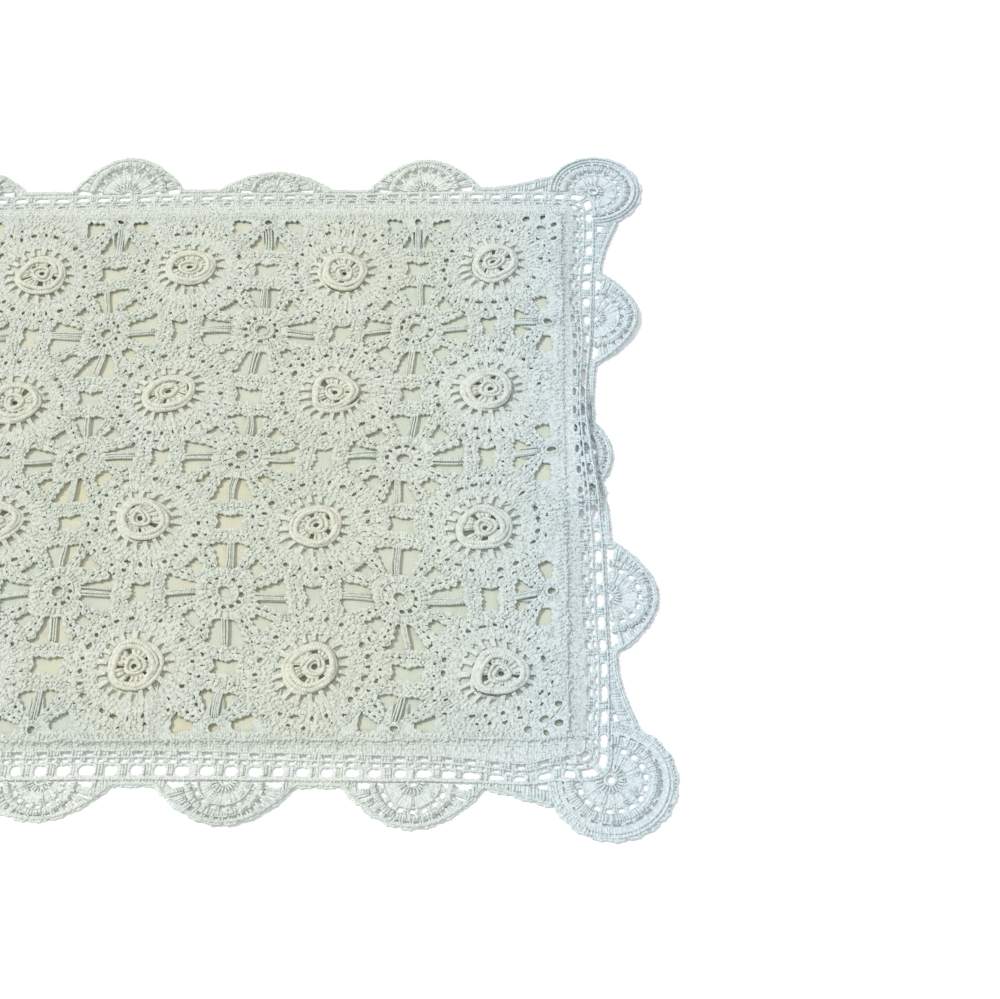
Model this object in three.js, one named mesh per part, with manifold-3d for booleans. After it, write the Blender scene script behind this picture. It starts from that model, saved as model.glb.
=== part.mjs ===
// A crocheted boudoir pillow sham, empty and lying flat, face up.
// Rose motifs, joined by wheel fillers, make an openwork front over a cream cloth.
// A filet border with scallops and four corner fans runs round the outside, and a plain cloth is the back.
// Millimetres. X runs along the long side, Y from the front long side to the back one, Z up.
// The origin is under the middle, on the surface that the sham lies on.
import * as THREE from "three";
import { mergeVertices } from "three/addons/utils/BufferGeometryUtils.js";
import Module from "manifold-3d";

// The lace front
const ROWS = 4;
const COLUMNS = 6;
const PITCH = 68.5; // between the middles of two roses
const PANEL_MARGIN = 30.5; // from the outer roses to the edge of the lace front
const HALF_LENGTH = ((COLUMNS - 1) * PITCH) / 2 + PANEL_MARGIN;
const HALF_WIDTH = ((ROWS - 1) * PITCH) / 2 + PANEL_MARGIN;

// The layers
const CLOTH = 1.0; // thickness of the two cloths, hems and all
const LACE = 1.5; // thickness of the lace front
const EDGING = 1.2; // thickness of the border, which is worked in one layer
const GAP = 0.3; // between pieces that touch
const SIDE_GAP = GAP / 2; // each of two neighbours stands back this much from their shared line
const FRONT_CLOTH_Z = CLOTH + GAP;
const LACE_Z = FRONT_CLOTH_Z + CLOTH + GAP;

// A rose motif: a round of crochet with joining tabs, and a raised rose in its middle
const ROUND_RADIUS = 27.5;
const TAB_ROOT_RADIUS = 28;
const TAB_RADIUS = 37; // before it is trimmed at the shared line
const TAB_NOTCH_RADIUS = 29.5; // the notch between the two tabs of a side
const TAB_ROOT_ANGLE = 21; // degrees from the middle of the side
const TAB_OUTER_ANGLE = 18;
const TAB_INNER_ANGLE = 7;
const ROSE_SIDES = 7;
const ROSE_STRETCH = 0.04; // how much wider a rose may be one way than the other
const ROSE_STRETCH_STEP = { column: 2.1, row: 1.3 }; // radians from one rose to the next
const ROSE_TURN_STEP = { column: 17, row: 29 }; // degrees from one rose to the next
const ROSE_PROFILE = [
  { radius: 0, height: 0.8 },
  { radius: 10.4, height: 0.8 },
  { radius: 10.8, height: 2.8 },
  { radius: 8.6, height: 4.4 },
  { radius: 5.6, height: 3.2 },
  { radius: 3.4, height: 4.0 },
  { radius: 0, height: 2.6 },
];

// A wheel filler: a round hub with twelve spokes
const WHEEL_HUB_RADIUS = 9;
const WHEEL_SPOKES = 12;
const BAR_LENGTH = 22.6; // the four spokes that run between two motifs
const BAR_HALF_WIDTH = 1.3;
const SPOKE_LENGTH = 21.9; // the eight spokes that reach a motif

// The border round the panel
const BORDER = 16.25; // from the panel to the base line of the scallops
const BAND = 9; // the sloping close-worked band, from the panel's height down to the surface
const VALLEY = 3.2; // how far the border reaches past the base line between scallops
const HALF_WHEEL_REACH = 13; // how far the border's half wheels reach in between two motifs
const HALF_WHEEL_HALF_WIDTH = 7;
const SCALLOP_HALF_WIDTH = 26; // from the hub of a scallop to where its flank runs into the valley
const SCALLOP_FULLNESS = 0.4; // power of the bell of its outline: lower is rounder
const FAN_FLANK = 50; // the same for the flank that a corner fan sends along each side
const FAN_FLANK_SHARE = 0.6; // of the fan's height
const FAN_STEPS = 18; // around the arc of a corner fan

// Where the sections of a side stand
const SCALLOP_STATIONS = [0.36, 0.7, 0.98]; // shares of the half width, on both sides of each hub
const FLANK_STATION = 21; // from the hub of a corner fan
const SHORTEST_STEP = 0.8;

// One scallop's foot is tucked under the border in a flat pleat: the cloth runs out, back and out again.
const PLEAT = {
  side: "right",
  at: 1, // its middle, along the side
  half: 34,
  ramp: 18, // over which it forms at each end
  depth: 5.6,
  layer_gap: 0.4,
};
const PLEAT_STEP_SHARE = 0.4; // of the ramp: the part where the step rises, before its layers overlap
const PLEAT_STATIONS = [0, PLEAT_STEP_SHARE, 0.7, 1]; // shares of the ramp
const [UPPER_FOLD, MIDDLE_FOLD, LOWER_FOLD] = [0.3, 0.6, 0.9]; // of the step, where the layers turn

// How far each rose lies off its even place. Back row first, and the left column first in each row.
const DRIFT_ALONG = [
  [0, 2, 4, 1, 3, 0],
  [1, 3, 3, 0, 2, -1],
  [0, 2, 4, -3, -2, -2],
  [0, 1, 2, 1, 2, 5],
];
const DRIFT_BACK = [
  [-2, -4, -6, -1, -5, 0],
  [-3, -4, -8, -4, -5, -4],
  [-2, -3, -2, 0, -3, -5],
  [0, -1, 0, 1, -1, -4],
];

// The scallops of each side, in the order of the side's own coordinate.
// shift: off its even place. depth: from the base line to the tip. lift: height of the tip over the surface.
const SCALLOPS = {
  front: [
    { shift: 0, depth: 20, lift: 0 },
    { shift: -3, depth: 19, lift: 0.8 },
    { shift: 6, depth: 17, lift: 0 },
    { shift: 2, depth: 18.5, lift: 0.6 },
    { shift: -1, depth: 19.5, lift: 0 },
  ],
  back: [
    { shift: 2, depth: 20, lift: 1 },
    { shift: 0, depth: 18, lift: 0 },
    { shift: 1, depth: 22, lift: 2.5 },
    { shift: -3, depth: 14, lift: 0 },
    { shift: -6, depth: 20, lift: 1.5 },
  ],
  left: [
    { shift: 0, depth: 20, lift: 0.8 },
    { shift: 2, depth: 20, lift: 0 },
    { shift: -1, depth: 19, lift: 1 },
  ],
  right: [
    { shift: 5, depth: 20.5, lift: 0 },
    { shift: 1, depth: 20, lift: 0 },
    { shift: -2, depth: 20, lift: 1.2 },
  ],
};
const FAN_RADIUS = { front_left: 24, front_right: 24.5, back_left: 24, back_right: 22 };

// Long soft creases in the border: how high the ridge stands, and how far it draws the edge in.
const CREASES = [
  { side: "right", at: 24, reach: 60, ridge: 3.0, drawn: 6 },
  { side: "back", at: 112, reach: 34, ridge: 1.4, drawn: 1.5 },
  { side: "front", at: -60, reach: 40, ridge: 0.8, drawn: 0.5 },
  { side: "left", at: -20, reach: 40, ridge: 1.0, drawn: 1 },
];

const wasm = await Module();
wasm.setup();

const crochet = { color: 0xdfe4dc, roughness: 0.92, metalness: 0 };
const cotton = { color: 0xe6e1cb, roughness: 0.9, metalness: 0 };
const sham = new THREE.Group();

function addPiece(name, geometry, finish) {
  geometry.computeVertexNormals();
  const mesh = new THREE.Mesh(geometry, new THREE.MeshStandardMaterial(finish));
  mesh.name = name;
  sham.add(mesh);
}

const radians = (degrees) => (degrees * Math.PI) / 180;
const smooth = (t) => t * t * (3 - 2 * t);
const clamp = (value, low, high) => Math.min(high, Math.max(low, value));
const roseX = (column) => (column - (COLUMNS - 1) / 2) * PITCH;
const roseY = (row) => ((ROWS - 1) / 2 - row) * PITCH;

// A value between the four nearest roses of a drift table, blended smoothly
function blend(table, x, y) {
  const column = clamp(x / PITCH + (COLUMNS - 1) / 2, 0, COLUMNS - 1);
  const row = clamp((ROWS - 1) / 2 - y / PITCH, 0, ROWS - 1);
  const c = Math.min(Math.floor(column), COLUMNS - 2);
  const r = Math.min(Math.floor(row), ROWS - 2);
  const u = smooth(column - c);
  const v = smooth(row - r);
  const near = table[r][c] * (1 - u) + table[r][c + 1] * u;
  const far = table[r + 1][c] * (1 - u) + table[r + 1][c + 1] * u;
  return near * (1 - v) + far * v;
}

// The drift dies away over the panel's margin, so that the border keeps its own line
function driftShare(x, y) {
  const alongMargin = (HALF_LENGTH - Math.abs(x)) / PANEL_MARGIN;
  const acrossMargin = (HALF_WIDTH - Math.abs(y)) / PANEL_MARGIN;
  return smooth(clamp(alongMargin, 0, 1)) * smooth(clamp(acrossMargin, 0, 1));
}

// Every point of the lace and the cloths moves by the drift of the spot where it lies
function lay(geometry) {
  const place = geometry.getAttribute("position");
  for (let i = 0; i < place.count; i += 1) {
    const x = place.getX(i);
    const y = place.getY(i);
    const share = driftShare(x, y);
    place.setX(i, x + share * blend(DRIFT_ALONG, x, y));
    place.setY(i, y + share * blend(DRIFT_BACK, x, y));
  }
  return geometry;
}

// A flat sheet of a given outline, with its underside at bottom
function slab(outline, bottom, thickness) {
  const shape = new THREE.Shape(outline);
  const geometry = new THREE.ExtrudeGeometry(shape, { depth: thickness, bevelEnabled: false });
  geometry.translate(0, 0, bottom);
  return onlyPositions(geometry);
}

function onlyPositions(geometry) {
  geometry.deleteAttribute("normal");
  geometry.deleteAttribute("uv");
  return mergeVertices(geometry, 1e-4);
}

function solidOf(geometry) {
  const mesh = new wasm.Mesh({
    numProp: 3,
    vertProperties: new Float32Array(geometry.getAttribute("position").array),
    triVerts: new Uint32Array(geometry.index.array),
  });
  return new wasm.Manifold(mesh);
}

function geometryOf(solid) {
  const mesh = solid.getMesh();
  const geometry = new THREE.BufferGeometry();
  geometry.setAttribute("position", new THREE.BufferAttribute(mesh.vertProperties, 3));
  geometry.setIndex(new THREE.BufferAttribute(mesh.triVerts, 1));
  return geometry;
}

// The outline of one motif about its own middle. reach gives how far it may go on each of its four sides.
function motifOutline(reach) {
  const side = [
    { angle: -TAB_ROOT_ANGLE, radius: TAB_ROOT_RADIUS },
    { angle: -TAB_OUTER_ANGLE, radius: TAB_RADIUS },
    { angle: -TAB_INNER_ANGLE, radius: TAB_RADIUS },
    { angle: 0, radius: TAB_NOTCH_RADIUS },
    { angle: TAB_INNER_ANGLE, radius: TAB_RADIUS },
    { angle: TAB_OUTER_ANGLE, radius: TAB_RADIUS },
    { angle: TAB_ROOT_ANGLE, radius: TAB_ROOT_RADIUS },
    { angle: 45, radius: ROUND_RADIUS },
  ];
  return reach.flatMap((limit, quarter) =>
    side.map(({ angle, radius }) => {
      const trimmed = Math.min(radius, limit / Math.cos(radians(angle)));
      const turn = radians(angle + quarter * 90);
      return new THREE.Vector2(trimmed * Math.cos(turn), trimmed * Math.sin(turn));
    }),
  );
}

// The raised rose: its profile turned about the middle, a little wider one way than the other
function rose(row, column) {
  const points = ROSE_PROFILE.map(({ radius, height }) => new THREE.Vector2(radius, height));
  const geometry = new THREE.LatheGeometry(points, ROSE_SIDES);
  geometry.rotateX(Math.PI / 2);
  const phase = ROSE_STRETCH_STEP.column * column + ROSE_STRETCH_STEP.row * row;
  const stretch = 1 + ROSE_STRETCH * Math.sin(phase);
  geometry.scale(stretch, 1 / stretch, 1);
  geometry.rotateZ(radians(ROSE_TURN_STEP.column * column + ROSE_TURN_STEP.row * row));
  geometry.translate(roseX(column), roseY(row), LACE_Z);
  return onlyPositions(geometry);
}

function buildMotifs() {
  const shared = PITCH / 2 - SIDE_GAP;
  const edge = PANEL_MARGIN - SIDE_GAP;
  for (let row = 0; row < ROWS; row += 1) {
    for (let column = 0; column < COLUMNS; column += 1) {
      const reach = [
        column === COLUMNS - 1 ? edge : shared,
        row === 0 ? edge : shared,
        column === 0 ? edge : shared,
        row === ROWS - 1 ? edge : shared,
      ];
      const ground = slab(motifOutline(reach), LACE_Z, LACE);
      ground.translate(roseX(column), roseY(row), 0);
      const whole = solidOf(ground).add(solidOf(rose(row, column)));
      addPiece(`rose_motif_${row + 1}_${column + 1}`, lay(geometryOf(whole)), crochet);
    }
  }
}

// The outline of a wheel: blunt bars along the four sides, pointed spokes between them
function wheelOutline() {
  const points = [];
  const step = 360 / WHEEL_SPOKES;
  for (let spoke = 0; spoke < WHEEL_SPOKES; spoke += 1) {
    const turn = radians(spoke * step);
    const along = new THREE.Vector2(Math.cos(turn), Math.sin(turn));
    const across = new THREE.Vector2(-along.y, along.x);
    if (spoke % 3 === 0) {
      const tip = along.clone().multiplyScalar(BAR_LENGTH);
      points.push(tip.clone().addScaledVector(across, -BAR_HALF_WIDTH));
      points.push(tip.clone().addScaledVector(across, BAR_HALF_WIDTH));
    } else {
      points.push(along.clone().multiplyScalar(SPOKE_LENGTH));
    }
    const notch = radians((spoke + 0.5) * step);
    points.push(new THREE.Vector2(Math.cos(notch), Math.sin(notch)).multiplyScalar(WHEEL_HUB_RADIUS));
  }
  return points;
}

function buildWheels() {
  for (let row = 0; row < ROWS - 1; row += 1) {
    for (let column = 0; column < COLUMNS - 1; column += 1) {
      const geometry = slab(wheelOutline(), LACE_Z, LACE);
      geometry.translate(roseX(column) + PITCH / 2, roseY(row) - PITCH / 2, 0);
      addPiece(`wheel_${row + 1}_${column + 1}`, lay(geometry), crochet);
    }
  }
}

// A cloth as large as the lace front, with points along its edges so that it follows them
function clothOutline() {
  const halfLength = HALF_LENGTH - 2 * SIDE_GAP;
  const halfWidth = HALF_WIDTH - 2 * SIDE_GAP;
  const corners = [
    [-halfLength, -halfWidth],
    [halfLength, -halfWidth],
    [halfLength, halfWidth],
    [-halfLength, halfWidth],
  ];
  return corners.flatMap((corner, i) => {
    const next = corners[(i + 1) % corners.length];
    const start = new THREE.Vector2(...corner);
    const end = new THREE.Vector2(...next);
    const steps = i % 2 === 0 ? COLUMNS : ROWS;
    return Array.from({ length: steps }, (_, k) => start.clone().lerp(end, k / steps));
  });
}

// Each side of the border runs along one edge of the panel. side gives where a point of it lies:
// along is measured from the middle of the side, out from the edge of the panel.
const SIDES = {
  front: {
    half: HALF_LENGTH,
    motifs: COLUMNS,
    place: (along, out) => [along, -HALF_WIDTH - out],
    mirrored: true,
  },
  back: {
    half: HALF_LENGTH,
    motifs: COLUMNS,
    place: (along, out) => [along, HALF_WIDTH + out],
    mirrored: false,
  },
  left: {
    half: HALF_WIDTH,
    motifs: ROWS,
    place: (along, out) => [-HALF_LENGTH - out, along],
    mirrored: false,
  },
  right: {
    half: HALF_WIDTH,
    motifs: ROWS,
    place: (along, out) => [HALF_LENGTH + out, along],
    mirrored: true,
  },
};
const CORNER_RADII = {
  front: [FAN_RADIUS.front_left, FAN_RADIUS.front_right],
  back: [FAN_RADIUS.back_left, FAN_RADIUS.back_right],
  left: [FAN_RADIUS.front_left, FAN_RADIUS.back_left],
  right: [FAN_RADIUS.front_right, FAN_RADIUS.back_right],
};

function hubs(side) {
  const spacing = (2 * (SIDES[side].half + BORDER)) / (SCALLOPS[side].length + 1);
  return SCALLOPS[side].map((scallop, i) => {
    const along = (i + 1) * spacing - SIDES[side].half - BORDER + scallop.shift;
    return { ...scallop, along };
  });
}

// How far an arc of a given radius reaches past its base line, off its middle
const arc = (radius, off) => Math.sqrt(Math.max(0, radius * radius - off * off));

// 1 in the middle, falling on a smooth bell to 0 at the half width
const bell = (off, half) => (1 + Math.cos(Math.PI * Math.min(1, Math.abs(off) / half))) / 2;

function creaseAt(side, along, key) {
  return CREASES.filter((crease) => crease.side === side).reduce((sum, crease) => {
    const off = (along - crease.at) / crease.reach;
    return sum + crease[key] * Math.exp(-off * off * 2);
  }, 0);
}

// How far the border reaches past its base line at a spot, and how high its edge stands there
function edgeAt(side, along) {
  const cornerHub = SIDES[side].half + BORDER;
  let reach = VALLEY;
  let lift = 0;
  for (const hub of hubs(side)) {
    const share = bell(along - hub.along, SCALLOP_HALF_WIDTH) ** SCALLOP_FULLNESS;
    reach = Math.max(reach, VALLEY + (hub.depth - VALLEY) * share);
    lift = Math.max(lift, hub.lift * share);
  }
  const [low, high] = CORNER_RADII[side];
  const flank = (radius, off) => VALLEY + FAN_FLANK_SHARE * (radius - VALLEY) * bell(off, FAN_FLANK);
  const lowOff = along + cornerHub;
  const highOff = along - cornerHub;
  reach = Math.max(reach, flank(low, lowOff), flank(high, highOff), arc(low, lowOff), arc(high, highOff));
  return { reach, lift };
}

// How far the border's inner edge lies in from the panel's edge, between two motifs
function halfWheelReach(side, along) {
  const { motifs } = SIDES[side];
  const place = along / PITCH + motifs / 2;
  const nearest = clamp(Math.round(place), 1, motifs - 1);
  const off = Math.abs(place - nearest) * PITCH;
  return HALF_WHEEL_REACH * clamp(1 - off / HALF_WHEEL_HALF_WIDTH, 0, 1);
}

// A point on the way from a to b
const between = (a, b, share) => [a[0] + (b[0] - a[0]) * share, a[1] + (b[1] - a[1]) * share];

// How far the pleat has formed at a spot: first a step rises in the border, then its layers overlap
function pleatAt(along) {
  const formed = clamp((PLEAT.half - Math.abs(along - PLEAT.at)) / PLEAT.ramp, 0, 1);
  const rise = clamp(formed / PLEAT_STEP_SHARE, 0, 1);
  const overlap = clamp((formed - PLEAT_STEP_SHARE) / (1 - PLEAT_STEP_SHARE), 0, 1);
  return { rise, overlap };
}

// The section across a side: over the top from its inner edge out, and back underneath.
// Each point is [distance out from the panel, height].
function section(side, along) {
  const { reach, lift } = edgeAt(side, along);
  const inner = SIDE_GAP - halfWheelReach(side, along);
  const drawn = creaseAt(side, along, "drawn");
  const ridge = creaseAt(side, along, "ridge");
  const band = BAND - drawn / 2;
  const base = BORDER - drawn;
  const upper = (out, z) => [out, z + EDGING];
  if (side !== PLEAT.side) {
    const chain = [[inner, LACE_Z], [SIDE_GAP, LACE_Z], [band, ridge], [base + reach, lift]];
    return [...chain.map(([out, z]) => upper(out, z)), ...chain.reverse()];
  }
  const { rise, overlap } = pleatAt(along);
  const layer = EDGING + PLEAT.layer_gap;
  const raise = 2 * layer * rise;
  const tuck = base - PLEAT.depth;
  const bandZ = Math.max(ridge, raise);
  const outer = Math.max(base + reach - 2 * PLEAT.depth * overlap, tuck + 2 * EDGING);
  const step = (share) => [base + share, raise * (1 - share)];
  const under = (share) => [base + share - EDGING, raise * (1 - share)];
  return [
    upper(inner, LACE_Z),
    upper(SIDE_GAP, LACE_Z),
    upper(band, bandZ),
    upper(base, raise),
    between(upper(...step(UPPER_FOLD)), [base, layer], overlap),
    between(upper(...step(MIDDLE_FOLD)), [tuck + EDGING, layer], overlap),
    between(upper(...step(LOWER_FOLD)), [tuck + EDGING, EDGING], overlap),
    upper(outer, lift),
    [outer, lift],
    between(under(LOWER_FOLD), [tuck, 0], overlap),
    between(under(MIDDLE_FOLD), [tuck, layer + EDGING], overlap),
    between(under(UPPER_FOLD), [base - EDGING, layer + EDGING], overlap),
    [base - EDGING, raise],
    [band, bandZ],
    [SIDE_GAP, LACE_Z],
    [inner, LACE_Z],
  ];
}

// The stations along a side: the ends, both sides of each half wheel, the turns of each scallop,
// and the steps of the pleat
function stations(side) {
  const end = SIDES[side].half - SIDE_GAP;
  const cornerHub = SIDES[side].half + BORDER;
  const spots = [-end, end, FLANK_STATION - cornerHub, cornerHub - FLANK_STATION];
  for (const hub of hubs(side)) {
    for (const share of SCALLOP_STATIONS) {
      spots.push(hub.along - share * SCALLOP_HALF_WIDTH, hub.along + share * SCALLOP_HALF_WIDTH);
    }
    spots.push(hub.along);
  }
  const { motifs } = SIDES[side];
  for (let k = 1; k < motifs; k += 1) {
    const wheel = (k - motifs / 2) * PITCH;
    spots.push(wheel - HALF_WHEEL_HALF_WIDTH, wheel, wheel + HALF_WHEEL_HALF_WIDTH);
  }
  if (side === PLEAT.side) {
    for (const share of PLEAT_STATIONS) {
      const off = PLEAT.half - share * PLEAT.ramp;
      spots.push(PLEAT.at - off, PLEAT.at + off);
    }
  }
  const sorted = spots.filter((spot) => Math.abs(spot) <= end).sort((a, b) => a - b);
  return sorted.filter((spot, i) => i === 0 || spot - sorted[i - 1] > SHORTEST_STEP || spot === end);
}

// A closed skin over sections that all have the same number of points, with a flat cap at each end
function loft(side) {
  const { place, mirrored } = SIDES[side];
  const spots = stations(side);
  const rings = spots.map((along) => section(side, along));
  const size = rings[0].length;
  const positions = rings.flatMap((ring, i) =>
    ring.flatMap(([out, z]) => [...place(spots[i], out), z]),
  );
  const index = [];
  const face = (a, b, c) => index.push(...(mirrored ? [a, b, c] : [a, c, b]));
  for (let i = 0; i + 1 < rings.length; i += 1) {
    for (let k = 0; k < size; k += 1) {
      const next = (k + 1) % size;
      const [a, b] = [i * size + k, i * size + next];
      face(a, b, a + size);
      face(b, b + size, a + size);
    }
  }
  const last = (rings.length - 1) * size;
  const cap = (ring) =>
    THREE.ShapeUtils.triangulateShape(ring.map(([out, z]) => new THREE.Vector2(out, z)), []);
  cap(rings[0]).forEach(([a, b, c]) => face(a, b, c));
  cap(rings[rings.length - 1]).forEach(([a, b, c]) => face(last + a, last + c, last + b));
  const geometry = new THREE.BufferGeometry();
  geometry.setAttribute("position", new THREE.Float32BufferAttribute(positions, 3));
  geometry.setIndex(index);
  return mergeVertices(geometry, 1e-4);
}

// A corner: the border's square and the fan on its outer corner, sloping down from the panel's corner
function corner(name, signX, signY) {
  const start = SIDE_GAP;
  const radius = FAN_RADIUS[name];
  const first = -Math.asin((BORDER - start) / radius);
  const last = Math.PI / 2 - first;
  const outline = [new THREE.Vector2(start, start), new THREE.Vector2(BAND, start)];
  for (let i = 0; i <= FAN_STEPS; i += 1) {
    const turn = first + ((last - first) * i) / FAN_STEPS;
    outline.push(new THREE.Vector2(BORDER + radius * Math.cos(turn), BORDER + radius * Math.sin(turn)));
  }
  outline.push(new THREE.Vector2(start, BAND));
  const geometry = slab(outline, 0, EDGING);
  const place = geometry.getAttribute("position");
  for (let i = 0; i < place.count; i += 1) {
    const out = Math.max(place.getX(i), place.getY(i));
    place.setZ(i, place.getZ(i) + LACE_Z * clamp((BAND - out) / (BAND - start), 0, 1));
  }
  geometry.translate(HALF_LENGTH, HALF_WIDTH, 0);
  geometry.scale(signX, signY, 1);
  if (signX * signY < 0) {
    geometry.setIndex(Array.from(geometry.index.array).reverse());
  }
  return geometry;
}

function buildBorder() {
  for (const side of Object.keys(SIDES)) {
    addPiece(`edging_${side}`, loft(side), crochet);
  }
  addPiece("corner_fan_front_left", corner("front_left", -1, -1), crochet);
  addPiece("corner_fan_front_right", corner("front_right", 1, -1), crochet);
  addPiece("corner_fan_back_left", corner("back_left", -1, 1), crochet);
  addPiece("corner_fan_back_right", corner("back_right", 1, 1), crochet);
}

addPiece("back_cloth", slab(clothOutline(), 0, CLOTH), cotton);
addPiece("front_cloth", slab(clothOutline(), FRONT_CLOTH_Z, CLOTH), cotton);
buildMotifs();
buildWheels();
buildBorder();

export default sham;
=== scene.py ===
import bpy
import numpy as np
from mathutils import Matrix, Vector


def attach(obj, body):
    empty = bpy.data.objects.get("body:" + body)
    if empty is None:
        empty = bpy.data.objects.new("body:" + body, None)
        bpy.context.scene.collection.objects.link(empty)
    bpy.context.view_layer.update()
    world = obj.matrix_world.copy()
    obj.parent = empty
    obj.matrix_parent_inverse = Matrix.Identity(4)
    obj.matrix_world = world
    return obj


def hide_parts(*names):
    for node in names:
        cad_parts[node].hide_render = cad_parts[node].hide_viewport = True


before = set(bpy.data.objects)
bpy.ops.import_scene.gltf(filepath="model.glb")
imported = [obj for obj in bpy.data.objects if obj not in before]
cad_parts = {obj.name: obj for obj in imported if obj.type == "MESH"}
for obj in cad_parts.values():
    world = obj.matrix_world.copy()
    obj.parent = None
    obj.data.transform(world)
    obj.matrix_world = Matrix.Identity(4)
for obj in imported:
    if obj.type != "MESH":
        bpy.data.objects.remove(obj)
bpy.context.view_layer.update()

bl_info = {
    "name": "Crocheted pillow sham",
    "version": (1, 0, 0),
    "blender": (4, 5, 0),
    "location": "3D View > Sidebar > Sham",
    "description":
        "Works the lace front, the border, the corner fans and the cloths of a crocheted pillow sham",
    "category": "Add Mesh",
}

MM = 0.001
TURN = 2 * np.pi

# The colours that are not settings
# The first colour is a blue tint for the right end, partly an uneven tint of the white and partly painted
# cool light.
BLUE_TINT_AND_COOL_LIGHT, LACE_SHADE, BORDER_SHADE = "#E1F1F9", "#DDE5D4", "#DFE9E3"
BACKING, BACKING_PATCHES, BOARD = "#E0E2D6", "#D8D8C6", "#F2F4F5"

# The layout of the lace and its border, in millimetres, from the middle of the sham. Row 0 is at the back,
# column 0 at the left.
ROWS, COLUMNS = 4, 6
PITCH = 68.5  # between the middles of two roses
PANEL_MARGIN = 30.5  # from the outer roses to the edge of the lace front
HALF_LENGTH = (COLUMNS - 1) * PITCH / 2 + PANEL_MARGIN
HALF_WIDTH = (ROWS - 1) * PITCH / 2 + PANEL_MARGIN
CLOTH = 1.0  # room for each cloth
GAP = 0.3  # between two pieces
FRONT_CLOTH_Z = CLOTH + GAP
LACE_Z = FRONT_CLOTH_Z + CLOTH + GAP
LACE_MIDDLE = LACE_Z + 0.6
BORDER = 16.25  # from the panel to the base line of the scallops
BAND = 9.0  # the sloping close-worked band
VALLEY = 3.2  # how far the border reaches past its base line between scallops
SCALLOP_HALF_WIDTH, SCALLOP_FULLNESS = 26.0, 0.4
SCALLOP_DEPTH, CORNER_RADIUS = 20.0, 24.0  # of a scallop and a corner fan whose rounds are of even size
FAN_FLANK, FAN_FLANK_SHARE = 50.0, 0.6
MOTIF_ROUND = 27.3  # the last whole round of a motif
MOTIF_LOOPS = 18  # open loops about a rose
SEAM = 0.1  # between the panel and what is sewn to it
BASE_ROW = [15.3, 16.4]  # the row of blocks that carries the scallops
EDGE_STEP = 0.97  # between two points of the worked edge
PLEAT_AT, PLEAT_HALF, PLEAT_RAMP, PLEAT_DEPTH, PLEAT_LAYER = 1.0, 34.0, 18.0, 5.6, 1.6
PLEAT_STEP_SHARE = 0.4

# How far each rose lies off its even place
DRIFT_ALONG = np.array([
    [0, 2, 4, 1, 3, 0],
    [1, 3, 3, 0, 2, -1],
    [0, 2, 4, -3, -2, -2],
    [0, 1, 2, 1, 2, 5],
], float)
DRIFT_BACK = np.array([
    [-2, -4, -6, -1, -5, 0],
    [-3, -4, -8, -4, -5, -4],
    [-2, -3, -2, 0, -3, -5],
    [0, -1, 0, 1, -1, -4],
], float)

# The scallops of each side: off their even place, depth from the base line to the tip, height of the tip
SCALLOPS = {
    "front": [(0, 20, 0), (-3, 19, 0.8), (6, 17, 0), (2, 18.5, 0.6), (-1, 19.5, 0)],
    "back": [(2, 20, 1), (0, 18, 0), (1, 22, 2.5), (-3, 14, 0), (-6, 20, 1.5)],
    "left": [(0, 20, 0.8), (2, 20, 0), (-1, 19, 1)],
    "right": [(5, 20.5, 0), (1, 20, 0), (-2, 20, 1.2)],
}
FAN_RADIUS = {"front_left": 24.0, "front_right": 24.5, "back_left": 24.0, "back_right": 22.0}
CORNERS = {
    "front_left": (-1, -1), "front_right": (1, -1), "back_left": (-1, 1), "back_right": (1, 1),
}
# Long soft creases: side, where along it, how far each way, height of the ridge, and how far the edge is
# drawn in
CREASES = [
    ("right", 24, 60, 3.0, 6.0),
    ("back", 112, 34, 1.4, 1.5),
    ("front", -60, 40, 0.8, 0.5),
    ("left", -20, 40, 1.0, 1.0),
]
# How far the rows of holes lie off their even place: side, where along it, how far each way, how far out
ROW_DRIFTS = [
    ("front", 30, 120, -3.2), ("front", 184, 24, 3.0), ("front", -170, 50, 1.0),
    ("back", 70, 150, 2.4), ("back", -150, 40, -1.0),
    ("right", 88, 32, -2.8), ("right", -105, 28, 1.2),
    ("left", 60, 50, 1.2), ("left", -60, 40, -1.0),
]
SIDE_STRETCH = {"front": 1.0, "back": 1.06, "left": 1.08, "right": 1.16}  # of the rows of holes, lengthways
SIDE_SEEDS = {"front": 11, "back": 12, "left": 13, "right": 14}
SIDE_HALF = {"front": HALF_LENGTH, "back": HALF_LENGTH, "left": HALF_WIDTH, "right": HALF_WIDTH}
SIDE_MOTIFS = {"front": COLUMNS, "back": COLUMNS, "left": ROWS, "right": ROWS}
SIDE_ENDS = {
    "front": ("front_left", "front_right"), "back": ("back_left", "back_right"),
    "left": ("front_left", "back_left"), "right": ("front_right", "back_right"),
}


# ---------------------------------------------------------------- settings

def linear(colour):
    """An sRGB hex colour as linear red, green, blue and alpha."""
    parts = np.array([int(colour[i:i + 2], 16) for i in (1, 3, 5)]) / 255
    return (*np.where(parts <= 0.04045, parts / 12.92, ((parts + 0.055) / 1.055) ** 2.4).tolist(), 1.0)


def length_setting(name, description, default, low, high):
    """A setting that is a length."""
    return bpy.props.FloatProperty(
        name=name, description=description, default=default, min=low, max=high, unit="LENGTH")


def colour_setting(name, description, default):
    """A setting that is a colour."""
    return bpy.props.FloatVectorProperty(
        name=name, description=description, default=linear(default)[:3],
        subtype="COLOR", size=3, min=0, max=1)


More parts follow.
